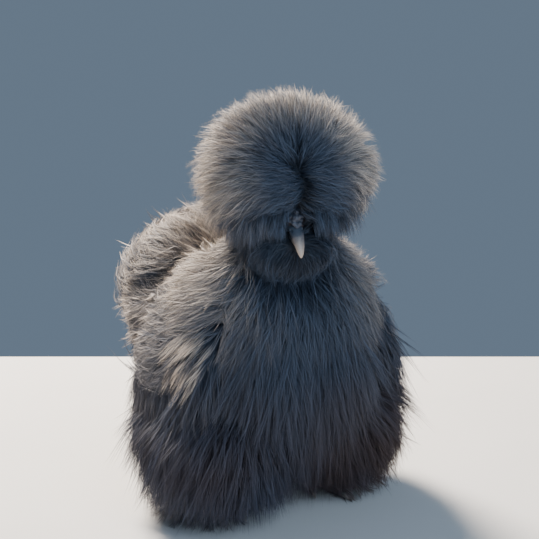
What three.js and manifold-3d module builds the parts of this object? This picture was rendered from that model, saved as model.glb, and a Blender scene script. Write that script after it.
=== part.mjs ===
// A silkie hen standing still with her head lowered and turned, life size.
// Millimetres, +Z up, she faces -Y. Every feathered part is a core of flesh and close down
// with flat tapered locks or vanes that leave it along the lie of the plumage.
import * as THREE from "three";
import { mergeVertices } from "three/addons/utils/BufferGeometryUtils.js";
import Module from "manifold-3d";

const wasm = await Module();
wasm.setup();

// Driving dimensions of the bird
const BODY_HALF_WIDTH = 67; // close down only, without the long plumage
const BODY_DEPTH = 104; // back to belly, without the long plumage
const COAT = 21; // how far the tips of the body plumage stand off the core
const HEAD_LENGTH = 40;
const HEAD_WIDTH = 27;
const HEAD_HEIGHT = 29;
const CREST_COAT = 25; // how far the crest's tips stand off its core
const BEARD_COAT = 17;
const WING_THICKNESS = 10;
const SHANK_RADIUS = 5.5;
const MIDDLE_TOE_LENGTH = 40;
const GAP = 0.4; // clear space that touching nodes keep
const SMOOTHING = 0.1; // slivers of joined solids under this are taken out

const UP = new THREE.Vector3(0, 0, 1);
const vec = (x, y, z) => new THREE.Vector3(x, y, z);
const radians = THREE.MathUtils.degToRad;
const TAU = 2 * Math.PI;

// Seeded draws between -1 and 1, so that the plumage is the same each time.
function drawsFrom(seed) {
  let state = seed;
  return () => {
    state = (state + 0x6d2b79f5) | 0;
    let mixed = Math.imul(state ^ (state >>> 15), 1 | state);
    mixed = (mixed + Math.imul(mixed ^ (mixed >>> 7), 61 | mixed)) ^ mixed;
    return (((mixed ^ (mixed >>> 14)) >>> 0) / 4294967296) * 2 - 1;
  };
}

// Solids

function solidFromArrays(points, triangles) {
  const vertProperties = new Float32Array(points.length * 3);
  points.forEach((p, i) => vertProperties.set([p.x, p.y, p.z], i * 3));
  const triVerts = new Uint32Array(triangles.flat());
  return new wasm.Manifold(new wasm.Mesh({ numProp: 3, vertProperties, triVerts }));
}

function solidFacingOut(points, triangles) {
  const solid = solidFromArrays(points, triangles);
  if (solid.volume() > 0) return solid;
  return solidFromArrays(points, triangles.map((face) => [...face].reverse()));
}

function solidFromGeometry(geometry) {
  const bare = geometry.index ? geometry.toNonIndexed() : geometry.clone();
  bare.deleteAttribute("normal");
  bare.deleteAttribute("uv");
  const merged = mergeVertices(bare, 1e-4);
  return new wasm.Manifold(
    new wasm.Mesh({
      numProp: 3,
      vertProperties: merged.attributes.position.array,
      triVerts: new Uint32Array(merged.index.array),
    }),
  );
}

// An ellipsoid of few faces, with its poles along its own z.
function ellipsoid(centre, radii, matrix = new THREE.Matrix4(), around = 12, along = 8) {
  const shape = new THREE.SphereGeometry(1, around, along);
  shape.rotateX(Math.PI / 2);
  shape.scale(radii.x, radii.y, radii.z);
  shape.translate(centre.x, centre.y, centre.z);
  shape.applyMatrix4(matrix);
  return solidFromGeometry(shape);
}

function largestBody(solid) {
  const bodies = solid.decompose();
  return bodies.reduce((best, body) => (body.volume() > best.volume() ? body : best));
}

const join = (solids) => wasm.Manifold.union(solids);

// Surfaces: each gives a point and a normal for (t, turn). t runs along the lie of the plumage
// and turn goes round it, 0 along the back and a half turn along the breast.

class Surface {
  constructor(first = 0, last = 1) {
    this.first = first;
    this.last = last;
  }
  // Past its ends a surface runs on straight, so that locks can stand out beyond it.
  point(t, turn) {
    const kept = THREE.MathUtils.clamp(t, this.first, this.last);
    const here = this.pointInside(kept, turn);
    if (kept === t) return here;
    const inner = this.pointInside(kept + (kept < t ? -1e-3 : 1e-3), turn);
    return here.clone().addScaledVector(here.sub(inner), Math.abs(t - kept) / 1e-3);
  }
  along(t, turn) {
    return this.point(t + 1e-3, turn).sub(this.point(t - 1e-3, turn)).divideScalar(2e-3);
  }
  round(t, turn) {
    const kept = THREE.MathUtils.clamp(t, this.first + 5e-3, this.last - 5e-3);
    return this.point(kept, turn + 1e-3).sub(this.point(kept, turn - 1e-3)).divideScalar(2e-3);
  }
  normal(t, turn) {
    return this.round(t, turn).cross(this.along(t, turn)).normalize();
  }
}

// The core of neck, torso and tail is one bent spindle through these stations, from the skull
// to the tail root: place of the spine, half width, and depth to the back and to the front.
const WIDE = BODY_HALF_WIDTH;
const DEEP = BODY_DEPTH;
const STATIONS = [
  { at: [-14, -45, 197], wide: 0.25 * WIDE, back: 0.15 * DEEP, front: 0.15 * DEEP },
  { at: [-10, -41, 177], wide: 0.37 * WIDE, back: 0.22 * DEEP, front: 0.2 * DEEP },
  { at: [-4, -29, 150], wide: 0.74 * WIDE, back: 0.33 * DEEP, front: 0.45 * DEEP },
  { at: [0, -6, 117], wide: 0.98 * WIDE, back: 0.42 * DEEP, front: 0.55 * DEEP },
  { at: [0, 29, 109], wide: WIDE, back: 0.47 * DEEP, front: 0.52 * DEEP },
  { at: [0, 65, 125], wide: 0.95 * WIDE, back: 0.46 * DEEP, front: 0.46 * DEEP },
  { at: [0, 96, 148], wide: 0.74 * WIDE, back: 0.34 * DEEP, front: 0.32 * DEEP },
];
const NECK_LIE = radians(-74); // how the plumage's lie points there, over the horizon
const TAIL_LIE = radians(34);
const TAIL_ROUNDING = 0.09; // share of the spindle over which it closes at the tail

class Body extends Surface {
  constructor() {
    super(0, 0.985);
    this.spine = new THREE.CatmullRomCurve3(STATIONS.map((s) => vec(...s.at)));
    this.radii = new THREE.CatmullRomCurve3(
      STATIONS.map((s) => vec(s.wide, s.back, s.front)),
      false,
      "catmullrom",
      0.5,
    );
  }
  // The rings lean evenly from the neck to the tail, so that they never meet on the back.
  pointInside(t, turn, grow = 0) {
    const lie = THREE.MathUtils.lerp(NECK_LIE, TAIL_LIE, t);
    const centre = this.spine.getPoint(t);
    const side = vec(1, 0, 0);
    const up = vec(0, -Math.sin(lie), Math.cos(lie));
    const { x: wide, y: back, z: front } = this.radii.getPoint(t);
    const left = Math.max(0, (t - 1 + TAIL_ROUNDING) / TAIL_ROUNDING);
    const closing = Math.sqrt(Math.max(0, 1 - left * left));
    const depth = Math.cos(turn) > 0 ? back : front;
    return centre
      .addScaledVector(side, (wide * closing + grow) * Math.sin(turn))
      .addScaledVector(up, (depth * closing + grow) * Math.cos(turn));
  }
}
const body = new Body();

// The crest and the beard are ellipsoids whose pole is where their plumage parts.
class Tuft extends Surface {
  constructor(centre, radii, pole, matrix) {
    super(0.01, 0.97);
    this.centre = centre;
    this.radii = radii;
    this.matrix = matrix;
    this.turnFromZ = new THREE.Quaternion().setFromUnitVectors(UP, pole.clone().normalize());
  }
  pointInside(t, turn, grow = 0) {
    const polar = Math.PI * t;
    const direction = vec(
      Math.sin(polar) * Math.sin(turn),
      Math.sin(polar) * Math.cos(turn),
      Math.cos(polar),
    ).applyQuaternion(this.turnFromZ);
    const { x, y, z } = this.radii;
    return direction
      .multiply(vec(x + grow, y + grow, z + grow))
      .add(this.centre)
      .applyMatrix4(this.matrix);
  }
}

// A closed spindle between two stations of a surface, with flat ends. It can be grown all over,
// its ends included, and keeps its faces in place then.
function spindle(surface, from, to, { rings, sides, grow = 0 }) {
  const points = [];
  const triangles = [];
  const ringAt = (i, k) => i * sides + (k % sides);
  const middle = (i) => middleOf(points.slice(i * sides, (i + 1) * sides));
  for (let i = 0; i <= rings; i += 1) {
    const t = from + ((to - from) * i) / rings;
    for (let k = 0; k < sides; k += 1) {
      points.push(surface.pointInside(t, (TAU * k) / sides, grow));
    }
  }
  for (const [end, inner] of [[0, 1], [rings, rings - 1]]) {
    const away = middle(end).sub(middle(inner)).setLength(grow);
    for (let k = 0; k < sides; k += 1) points[ringAt(end, k)].add(away);
  }
  for (let i = 0; i < rings; i += 1) {
    for (let k = 0; k < sides; k += 1) {
      const [a, b, c, d] = [ringAt(i, k), ringAt(i, k + 1), ringAt(i + 1, k + 1), ringAt(i + 1, k)];
      triangles.push([a, b, c], [a, c, d]);
    }
  }
  const startCap = points.push(middle(0)) - 1;
  const endCap = points.push(middle(rings)) - 1;
  for (let k = 0; k < sides; k += 1) {
    triangles.push([startCap, ringAt(0, k + 1), ringAt(0, k)]);
    triangles.push([endCap, ringAt(rings, k), ringAt(rings, k + 1)]);
  }
  return solidFacingOut(points, triangles);
}

function middleOf(points) {
  return points.reduce((sum, p) => sum.add(p), vec(0, 0, 0)).divideScalar(points.length);
}

// Two triangles for a bent quad, along the diagonal that stands further out from the middle.
function splitOutwards(points, [a, b, c, d], middle) {
  const outward = middleOf([a, b, c, d].map((i) => points[i])).sub(middle);
  const reach = (i, j) => outward.dot(points[i]) + outward.dot(points[j]);
  return reach(a, c) > reach(b, d) ? [[a, d, c], [a, c, b]] : [[a, d, b], [b, d, c]];
}

// A blade is a flat tapered lock or feather along a path that ends in a point. Its section at
// each ring is flat below and keeled above.
const BLADE_SIDES = 3;
function bladePoints(path, acrosses, widths, thicks, grow) {
  const last = path.length - 1;
  const aheadAt = (i) => path[Math.min(i + 1, last)].clone().sub(path[Math.max(i - 1, 0)]).normalize();
  const rings = path.slice(0, last).map((at, i) => {
    const ahead = aheadAt(i);
    const across = acrosses[i].clone().addScaledVector(ahead, -acrosses[i].dot(ahead)).normalize();
    const above = across.clone().cross(ahead).normalize();
    const middle = at.clone().addScaledVector(ahead, i === 0 ? -grow : 0);
    const [edge, low, high] = [widths[i] / 2 + 8 * grow, -thicks[i] / 2 - grow, thicks[i] / 2 + 1.2 * grow];
    return [[edge, low], [0, high], [-edge, low]].map(([x, y]) =>
      middle.clone().addScaledVector(across, x).addScaledVector(above, y),
    );
  });
  return [...rings.flat(), path[last].clone().addScaledVector(aheadAt(last), 3 * grow)];
}

function blade(path, acrosses, widths, thicks, grow = 0) {
  const plain = bladePoints(path, acrosses, widths, thicks, 0);
  const triangles = [[0, 1, 2]];
  const rings = path.length - 1;
  for (let k = 0; k < BLADE_SIDES; k += 1) {
    const next = (k + 1) % BLADE_SIDES;
    for (let i = 0; i < rings - 1; i += 1) {
      const [near, far] = [i * BLADE_SIDES, (i + 1) * BLADE_SIDES];
      const quad = [near + k, near + next, far + next, far + k];
      triangles.push(...splitOutwards(plain, quad, middleOf(plain.slice(near, far + BLADE_SIDES))));
    }
    triangles.push([(rings - 1) * BLADE_SIDES + k, rings * BLADE_SIDES, (rings - 1) * BLADE_SIDES + next]);
  }
  return solidFacingOut(bladePoints(path, acrosses, widths, thicks, grow), triangles);
}

// Width and thickness along a lock or vane at each ring, as shares of its greatest
const LOCK = { widths: [0.62, 1, 0.8], thicks: [1, 0.9, 0.6] };
const VANE = { widths: [0.6, 1, 0.85], thicks: [1, 0.9, 0.6] };
const CREST_LOCK = { widths: [0.75, 1, 0.9], thicks: [1, 0.9, 0.6] };
const THINNEST = 0.6;
const DOWN = vec(0, 0, -1);

// A step over a surface, in its own two measures.
function measureOf(surface, t, turn, step) {
  const along = surface.along(t, turn);
  const round = surface.round(t, turn);
  const [aa, ar, rr] = [along.dot(along), along.dot(round), round.dot(round)];
  const [da, dr] = [step.dot(along), step.dot(round)];
  const whole = aa * rr - ar * ar;
  const dTurn = (dr * aa - da * ar) / whole;
  return { dt: (da * rr - dr * ar) / whole, dTurn: THREE.MathUtils.clamp(dTurn, -0.5, 0.5) };
}

// A lock follows the lie of its surface. It is rooted sink under it, its tip stands rise
// off it, lean turns it aside and droop bends it towards the floor.
function lockPath(surface, root, { form = LOCK, length, rise, lift = 0, lean = 0, droop = 0, sink = 4 }) {
  const steps = form.widths.length;
  const path = [];
  const acrosses = [];
  const direction = vec(0, 0, 0);
  let { t, turn } = root;
  for (let i = 0; i <= steps; i += 1) {
    const share = i / steps;
    const normal = surface.normal(t, turn);
    const ahead = surface.along(t, turn).normalize();
    const aside = ahead.clone().cross(normal).normalize();
    const fall = DOWN.clone().addScaledVector(normal, -DOWN.dot(normal));
    ahead.addScaledVector(aside, lean).addScaledVector(fall, droop * (0.5 + share));
    direction.add(ahead.normalize()).normalize();
    const height = i === 0 ? -sink : lift + (rise - lift) * share;
    path.push(surface.point(t, turn).addScaledVector(normal, height));
    acrosses.push(direction.clone().cross(normal).normalize());
    const { dt, dTurn } = measureOf(surface, t, turn, direction.clone().multiplyScalar(length / steps));
    t += dt;
    turn += dTurn;
  }
  return { path, acrosses };
}

const FLUFF_CLEARANCE = 9; // between the hanging plumage and the floor

// A lock that hangs free of its surface: it stands off and bends over towards the floor.
function hangingPath(surface, { t, turn }, { form = LOCK, length, rise, lean, sink = 4 }) {
  const steps = form.widths.length;
  const normal = surface.normal(t, turn);
  const ahead = surface.along(t, turn).normalize().add(DOWN).normalize();
  ahead.addScaledVector(ahead.clone().cross(normal), lean).normalize();
  const across = ahead.clone().cross(normal).normalize();
  const start = surface.point(t, turn);
  const lowest = start.z + rise * normal.z - FLUFF_CLEARANCE;
  const reach = Math.min(length, lowest / -ahead.z);
  const path = [];
  for (let i = 0; i <= steps; i += 1) {
    const share = i / steps;
    const height = i === 0 ? -sink : rise * share * (1.7 - 0.7 * share);
    const along = reach * (share - 0.3 * share * (1 - share));
    path.push(start.clone().addScaledVector(normal, height).addScaledVector(ahead, along));
  }
  return { path, acrosses: path.map(() => across) };
}

function lockSolid({ path, acrosses }, form, width, thick, grow) {
  return blade(
    path,
    acrosses,
    form.widths.map((share) => share * width),
    form.thicks.map((share) => Math.max(THINNEST, share * thick)),
    grow,
  );
}

// Solids that a node is joined from, and the same grown by the gap for its neighbours.
class Pieces {
  constructor() {
    this.solids = [];
    this.clearances = [];
  }
  add(make) {
    this.solids.push(make(0));
    this.clearances.push(make(GAP));
    return this;
  }
  addLock(way, form, width, thick) {
    return this.add((grow) => lockSolid(way, form, width, thick, grow));
  }
}

// Roots spread evenly over a region: a root is kept where no earlier one is within the gaps.
function scatterRoots(surface, { from, to, turnFrom = 0, turnTo = TAU, alongGap, acrossGap, keep }, draw) {
  const kept = [];
  const rows = Math.ceil((to - from) / 0.012);
  for (let row = 0; row <= rows; row += 1) {
    const t = from + ((to - from) * row) / rows;
    const columns = Math.ceil((turnTo - turnFrom) / 0.09);
    const shift = draw();
    for (let column = 0; column < columns; column += 1) {
      const turn = turnFrom + ((turnTo - turnFrom) * (column + 0.5 + 0.5 * shift)) / columns;
      if (keep && !keep(t, turn)) continue;
      const here = surface.point(t, turn);
      const along = surface.along(t, turn).normalize();
      const normal = surface.normal(t, turn);
      const across = along.clone().cross(normal);
      const clear = kept.every((other) => {
        const way = other.here.clone().sub(here);
        const beside = Math.hypot(way.dot(across), way.dot(normal)) / acrossGap;
        return Math.hypot(way.dot(along) / alongGap, beside) > 1;
      });
      if (clear) kept.push({ here, t, turn });
    }
  }
  return kept;
}

// A coat of locks over a region of a surface.
function addCoat(pieces, surface, region, specAt, seed, pathOf = lockPath) {
  const draw = drawsFrom(seed);
  const about = (value, share) => value * (1 + share * draw());
  for (const root of scatterRoots(surface, region, draw)) {
    const spec = { form: LOCK, ...specAt(root.t, root.turn) };
    const way = pathOf(surface, root, {
      ...spec,
      length: about(spec.length, 0.12),
      rise: about(spec.rise, 0.14),
      lean: 0.12 * draw(),
    });
    pieces.addLock(way, spec.form, about(spec.width, 0.12), spec.thick);
  }
}

// Where a solid still touches another, a small block is cut out of it.
function cutClear(solid, other) {
  for (const touching of solid.intersect(other).decompose()) {
    const { min, max } = touching.boundingBox();
    const size = [0, 1, 2].map((k) => max[k] - min[k] + 2 * GAP);
    const block = new THREE.BoxGeometry(...size);
    block.translate(...[0, 1, 2].map((k) => (min[k] + max[k]) / 2));
    solid = largestBody(solid.subtract(solidFromGeometry(block)));
  }
  return solid;
}

// Nodes are made from the outside in: a later node is cut clear of every earlier one.
const made = new Map();
function addNode(name, { solids, clearances }, smoothing = SMOOTHING) {
  let solid = join(solids);
  for (const other of made.values()) {
    const [a, b] = [solid.boundingBox(), other.clearance.boundingBox()];
    const apart = [0, 1, 2].some((k) => a.min[k] > b.max[k] || b.min[k] > a.max[k]);
    if (!apart) solid = solid.subtract(other.clearance);
  }
  solid = largestBody(largestBody(solid).simplify(smoothing));
  for (const other of made.values()) solid = cutClear(solid, other.solid);
  made.set(name, { solid, clearance: join(clearances) });
}

// Head: its own frame has the skull's middle as origin and the beak along -Y.
const HEAD_AT = vec(-15, -50, 209);
const HEAD_TURN = radians(-14); // towards her right
const HEAD_BOW = radians(20);
const headMatrix = new THREE.Matrix4()
  .makeTranslation(HEAD_AT)
  .multiply(new THREE.Matrix4().makeRotationZ(HEAD_TURN))
  .multiply(new THREE.Matrix4().makeRotationX(HEAD_BOW));
const SKULL_RADII = vec(HEAD_WIDTH / 2, HEAD_LENGTH / 2, HEAD_HEIGHT / 2);

const EYE_RADIUS = 4;
const eyeCentre = (side) => vec(side * 0.74 * SKULL_RADII.x, -0.42 * SKULL_RADII.y, 0.15 * SKULL_RADII.z);
const grownBy = (radii, grow) => vec(radii.x + grow, radii.y + grow, radii.z + grow);

function addEyes() {
  for (const [name, side] of [["eye_right", -1], ["eye_left", 1]]) {
    const ball = (grow) => {
      const radius = EYE_RADIUS + grow;
      return ellipsoid(eyeCentre(side), vec(radius, radius, radius), headMatrix, 8, 6);
    };
    addNode(name, new Pieces().add(ball));
  }
}

// Each half of the beak is a spindle with one flat face, on the line where both halves meet.
const BEAK_BASE = vec(0, -0.82 * SKULL_RADII.y, -0.16 * SKULL_RADII.z);
const UPPER_BEAK_LENGTH = 23;
const LOWER_BEAK_LENGTH = 16;
const BEAK_HALF_WIDTH = 5.6;
const BEAK_DEPTH = 5.6;
const mouthLine = (ahead) => BEAK_BASE.z - 0.14 * ahead - 0.013 * ahead * ahead;

class BeakHalf extends Surface {
  constructor(upward, length, wide, depth) {
    super();
    this.spec = { upward, length, wide, depth };
  }
  pointInside(t, turn, grow = 0) {
    const { upward, length, wide, depth } = this.spec;
    const narrowing = Math.sqrt(Math.max(0, 1 - t ** 1.7));
    const ahead = length * t;
    const bulge = upward * Math.cos(turn);
    const height = bulge > 0 ? (depth * narrowing + grow) * bulge : -grow;
    return vec(
      (wide * narrowing + grow) * Math.sin(turn),
      BEAK_BASE.y - ahead,
      mouthLine(ahead) + upward * (0.6 * GAP + height),
    ).applyMatrix4(headMatrix);
  }
}

function addBeak() {
  const shape = { rings: 5, sides: 8 };
  const upper = new BeakHalf(1, UPPER_BEAK_LENGTH, BEAK_HALF_WIDTH, BEAK_DEPTH);
  const lower = new BeakHalf(-1, LOWER_BEAK_LENGTH, 0.86 * BEAK_HALF_WIDTH, 0.7 * BEAK_DEPTH);
  const half = (surface) => (grow) => spindle(surface, 0, 0.985, { ...shape, grow });
  const beak = new Pieces().add(half(upper));
  for (const side of [-1, 1]) {
    const nostril = vec(side * 0.66 * BEAK_HALF_WIDTH, BEAK_BASE.y - 6.5, BEAK_BASE.z + 2.4);
    beak.solids[0] = beak.solids[0].subtract(ellipsoid(nostril, vec(1.4, 1.9, 0.7), headMatrix, 8, 4));
  }
  addNode("beak_upper", beak);
  addNode("beak_lower", new Pieces().add(half(lower)));
}

// The comb is a small lumpy cushion over the beak's base: side, ahead, up and size of each lump.
const COMB_LUMPS = [
  [0, 0.92, 0.52, 3.2],
  [-3.4, 0.8, 0.5, 2.8],
  [3.4, 0.82, 0.52, 2.7],
  [-1.8, 0.74, 0.72, 2.6],
  [2, 0.72, 0.74, 2.7],
];
function addComb() {
  const comb = new Pieces();
  for (const [aside, ahead, up, size] of COMB_LUMPS) {
    const at = vec(aside, -ahead * SKULL_RADII.y, up * SKULL_RADII.z);
    comb.add((grow) => {
      const radii = vec(size + grow, size + grow, 0.8 * size + grow);
      return ellipsoid(at, radii, headMatrix, 6, 4);
    });
  }
  const around = vec(0, -0.82 * SKULL_RADII.y, 0.58 * SKULL_RADII.z);
  comb.clearances = [ellipsoid(around, vec(7.6, 6.4, 6), headMatrix, 10, 6)];
  addNode("comb", comb, 2 * SMOOTHING);
}

// The skull carries lids round each eye and a small ear lobe behind the cheek.
const LID_RADIUS = 0.9;
function addHead() {
  const head = new Pieces();
  head.add((grow) => ellipsoid(vec(0, 0, 0), grownBy(SKULL_RADII, grow), headMatrix, 14, 8));
  for (const side of [-1, 1]) {
    const at = eyeCentre(side);
    head.add((grow) => {
      const lids = new THREE.TorusGeometry(EYE_RADIUS + 0.4, LID_RADIUS + grow, 3, 8);
      lids.rotateY(Math.PI / 2);
      lids.scale(1, 1.05, 0.86);
      lids.translate(at.x + side * 1.9, at.y, at.z);
      return solidFromGeometry(lids.applyMatrix4(headMatrix));
    });
    const lobe = vec(side * 0.9 * SKULL_RADII.x, 0.2 * SKULL_RADII.y, -0.35 * SKULL_RADII.z);
    head.add((grow) => ellipsoid(lobe, grownBy(vec(2, 3, 4.4), grow), headMatrix, 6, 4));
  }
  addNode("head", head, 2 * SMOOTHING);
}

// Crest: a globe whose plumage radiates from a parting over the forehead.
const CREST_CENTRE = vec(0, 9, 25);
const CREST_RADII = vec(35, 30, 24);
const crestSurface = new Tuft(CREST_CENTRE, CREST_RADII, vec(0, -0.85, 0.5), headMatrix);

function addCrest() {
  const crest = new Pieces();
  crest.add((grow) => ellipsoid(CREST_CENTRE, grownBy(CREST_RADII, grow), headMatrix, 14, 9));
  const clearOfNeck = (t, turn) => crestSurface.normal(t, turn).z > -0.6;
  const region = { from: 0.05, to: 0.9, alongGap: 17, acrossGap: 16.5, keep: clearOfNeck };
  const specAt = (t) => ({
    form: CREST_LOCK,
    length: 25 + 14 * t,
    rise: CREST_COAT * THREE.MathUtils.lerp(0.85, 1, Math.min(1, t / 0.25)),
    width: 22 + 6 * t,
    thick: 2.8,
    droop: 0.1,
  });
  addCoat(crest, crestSurface, region, specAt, 11);
  addNode("crest", crest);
}

// Beard and muffs: a collar of down under the beak and over the cheeks.
const BEARD_CENTRE = vec(0, -15, -19);
const BEARD_RADII = vec(24, 17, 15);
const beardSurface = new Tuft(BEARD_CENTRE, BEARD_RADII, vec(0, -0.75, 0.65), headMatrix);

function addBeard() {
  const beard = new Pieces();
  beard.add((grow) => ellipsoid(BEARD_CENTRE, grownBy(BEARD_RADII, grow), headMatrix, 12, 8));
  const forward = (t, turn) => beardSurface.normal(t, turn).y < -0.1;
  const region = { from: 0.12, to: 0.6, alongGap: 16, acrossGap: 14, keep: forward };
  const specAt = () => ({ length: 30, rise: BEARD_COAT, width: 18, thick: 2.4, droop: 0.4 });
  addCoat(beard, beardSurface, region, specAt, 23);
  addNode("beard", beard);
}

// Neck, torso and tail part the one spindle with thin cuts across it.
const SKULL_SEAT = 0.02; // the spindle starts just inside the skull
const NECK_END = 0.3;
const TORSO_END = 0.86;
const HALF_CUT = 0.0012;

// How deep (t, turn) lies in an oval patch on a flank: over 0 inside it, 1 at its middle.
function depthInPatch({ t: middleT, turn: middleTurn, halfT, halfTurn }, t, turn) {
  const lateral = Math.abs(Math.atan2(Math.sin(turn), Math.cos(turn)));
  return 1 - ((t - middleT) / halfT) ** 2 - ((lateral - middleTurn) / halfTurn) ** 2;
}
const WING_PATCH = { t: 0.54, turn: radians(68), halfT: 0.2, halfTurn: radians(44) };
const WING_TIP_PATCH = { t: 0.74, turn: radians(80), halfT: 0.16, halfTurn: radians(34) };
const THIGH_PATCH = { t: 0.55, turn: radians(146), halfT: 0.13, halfTurn: radians(24) };

// How far the tips of the body plumage stand off the core
function coatAt(t, turn) {
  const neck = THREE.MathUtils.lerp(0.3, 1, Math.min(1, t / 0.22));
  const tip = Math.max(0, depthInPatch(WING_TIP_PATCH, t, turn));
  return COAT * neck * (1 - 0.5 * Math.min(1, 2 * tip));
}

const TAIL_SEAM_ROW = 0.76; // past it only the back carries locks, over the tail's root
function addBodyCoat(pieces, from, to, gaps, seed) {
  const bare = (t, turn) =>
    (t > TAIL_SEAM_ROW && Math.cos(turn) < 0.3) ||
    depthInPatch(WING_PATCH, t, turn) > -0.05 ||
    depthInPatch(WING_TIP_PATCH, t, turn) > 0.1 ||
    depthInPatch(THIGH_PATCH, t, turn) > 0;
  const region = { ...gaps, from, to, keep: (t, turn) => !bare(t, turn) };
  const specAt = (t, turn) => {
    const size = Math.min(1, t / 0.45);
    const low = Math.max(0, -Math.cos(turn));
    const hanging = low * low * Math.min(1, t / 0.4, Math.max(0, 0.7 - t) / 0.2);
    return {
      length: THREE.MathUtils.lerp(38, 58, size) + 16 * hanging - (t > 0.6 ? 20 * low : 0),
      rise: coatAt(t, turn),
      width: THREE.MathUtils.lerp(23, 35, size),
      thick: THREE.MathUtils.lerp(2.4, 3, size),
      droop: 1.7 * hanging,
    };
  };
  addCoat(pieces, body, region, specAt, seed);
}

const bodyCore = (from, to, rings, sides) => (grow) => spindle(body, from, to, { rings, sides, grow });

function addNeck() {
  const neck = new Pieces().add(bodyCore(SKULL_SEAT, NECK_END - HALF_CUT, 5, 14));
  addBodyCoat(neck, SKULL_SEAT + 0.04, NECK_END - 0.02, { alongGap: 25, acrossGap: 22 }, 31);
  addNode("neck", neck);
}

function addTorso() {
  const torso = new Pieces().add(bodyCore(NECK_END + HALF_CUT, TORSO_END - HALF_CUT, 9, 16));
  addBodyCoat(torso, NECK_END + 0.015, TORSO_END - 0.03, { alongGap: 38, acrossGap: 33 }, 37);
  addNode("torso", torso);
}

// Wings: a pad on each flank that carries two tiers of silky vanes and a bow of locks.
class WingFace extends Surface {
  pointInside(t, turn) {
    const depth = Math.sqrt(Math.max(0, depthInPatch(WING_PATCH, t, turn)));
    const normal = body.normal(t, turn);
    return body.pointInside(t, turn).addScaledVector(normal, 0.8 * WING_THICKNESS * depth);
  }
  // The lie of the plumage is the body's own, whatever the pad's edges do.
  normal(t, turn) {
    return body.normal(t, turn);
  }
}

const WING_SEAT = 6; // how far the pad's inner face is bowed into the flank
function wingPad(side, grow) {
  const rings = 3;
  const sides = 14;
  const points = [];
  const triangles = [];
  const outward = vec(side * 0.94, 0, 0.34);
  const place = (share, angle, height) => {
    const t = WING_PATCH.t + share * WING_PATCH.halfT * Math.cos(angle);
    const turn = side * (WING_PATCH.turn + share * WING_PATCH.halfTurn * Math.sin(angle));
    const here = body.pointInside(t, turn).addScaledVector(outward, height);
    if (share < 1) return here;
    const toRim = body.along(t, turn).setLength(grow * Math.cos(angle));
    return here.add(toRim).add(body.round(t, turn).setLength(side * grow * Math.sin(angle)));
  };
  const face = (height) => {
    const start = points.length;
    points.push(place(0, 0, height(0)));
    for (let i = 1; i <= rings; i += 1) {
      for (let k = 0; k < sides; k += 1) {
        points.push(place(i / rings, (TAU * k) / sides, height(i / rings)));
      }
    }
    return start;
  };
  const outer = face((share) => 3.2 + grow + WING_THICKNESS * Math.sqrt(1 - share * share));
  const inner = face((share) => 2.2 - grow - WING_SEAT * (1 - share * share));
  const at = (start, i, k) => (i === 0 ? start : start + 1 + (i - 1) * sides + (k % sides));
  for (let k = 0; k < sides; k += 1) {
    for (let i = 0; i < rings; i += 1) {
      const [a, b, c, d] = [at(0, i, k), at(0, i + 1, k), at(0, i + 1, k + 1), at(0, i, k + 1)];
      const faces = i === 0 ? [[a, b, c]] : [[a, b, c], [a, c, d]];
      for (const f of faces) {
        triangles.push(f.map((v) => v + outer), f.map((v) => v + inner).reverse());
      }
    }
    const [a, b] = [at(outer, rings, k), at(outer, rings, k + 1)];
    const [c, d] = [at(inner, rings, k), at(inner, rings, k + 1)];
    triangles.push([a, c, d], [a, d, b]);
  }
  return solidFacingOut(points, triangles);
}

// A tier of overlapping flight feathers or coverts, rooted along a line over the wing. Each is
// tipped so that one edge lies over the next feather.
const FLIGHTS = {
  count: 7,
  start: { t: 0.55, turn: 108 },
  end: { t: 0.64, turn: 54 },
  length: 62,
  lift: 8,
  rise: 21,
  width: 19,
};
const COVERTS = {
  count: 6,
  start: { t: 0.47, turn: 102 },
  end: { t: 0.56, turn: 46 },
  length: 46,
  lift: 12,
  rise: 25,
  width: 19,
};
const BOW = { alongGap: 19, acrossGap: 17, length: 40, rise: 17, width: 20, thick: 2.6 };

function addTier(pieces, side, { count, start, end, length, lift, rise, width }, draw) {
  for (let i = 0; i < count; i += 1) {
    const share = i / (count - 1);
    const root = {
      t: THREE.MathUtils.lerp(start.t, end.t, share),
      turn: side * radians(THREE.MathUtils.lerp(start.turn, end.turn, share)),
    };
    const own = length * (1 + 0.07 * draw());
    const way = lockPath(body, root, { form: VANE, length: own, lift, rise, droop: 0.35, sink: -5 });
    way.acrosses = way.acrosses.map((across, k) => tipped(across, way.path, k, side * 0.22));
    pieces.addLock(way, VANE, width, 1.8);
  }
}

function tipped(across, path, k, angle) {
  const [a, b] = [path[Math.max(0, k - 1)], path[Math.min(path.length - 1, k + 1)]];
  return across.clone().applyAxisAngle(b.clone().sub(a).normalize(), angle);
}

function addWing(name, side, seed) {
  const wing = new Pieces().add((grow) => wingPad(side, grow));
  const draw = drawsFrom(seed);
  addTier(wing, side, FLIGHTS, draw);
  addTier(wing, side, COVERTS, draw);
  const [near, far] = [radians(28), radians(106)];
  const region = {
    ...BOW,
    from: WING_PATCH.t - 0.17,
    to: WING_PATCH.t - 0.02,
    turnFrom: Math.min(side * near, side * far),
    turnTo: Math.max(side * near, side * far),
    keep: (t, turn) => depthInPatch(WING_PATCH, t, turn) > 0.06,
  };
  addCoat(wing, new WingFace(0, 0.985), region, () => ({ ...BOW, droop: 0.2, sink: 2 }), seed);
  addNode(name, wing);
}

// Tail: two tiers of silky vanes over a short brush of locks.
const TAIL_AXIS = vec(0, 0.79, 0.61);
const TAIL_TIERS = [
  { count: 7, from: vec(0, 100, 148), spread: 1.8, wide: 56, length: 46, width: 20, raise: -0.1 },
  { count: 6, from: vec(0, 92, 156), spread: 1.5, wide: 50, length: 46, width: 20, raise: 0.12 },
];

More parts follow.
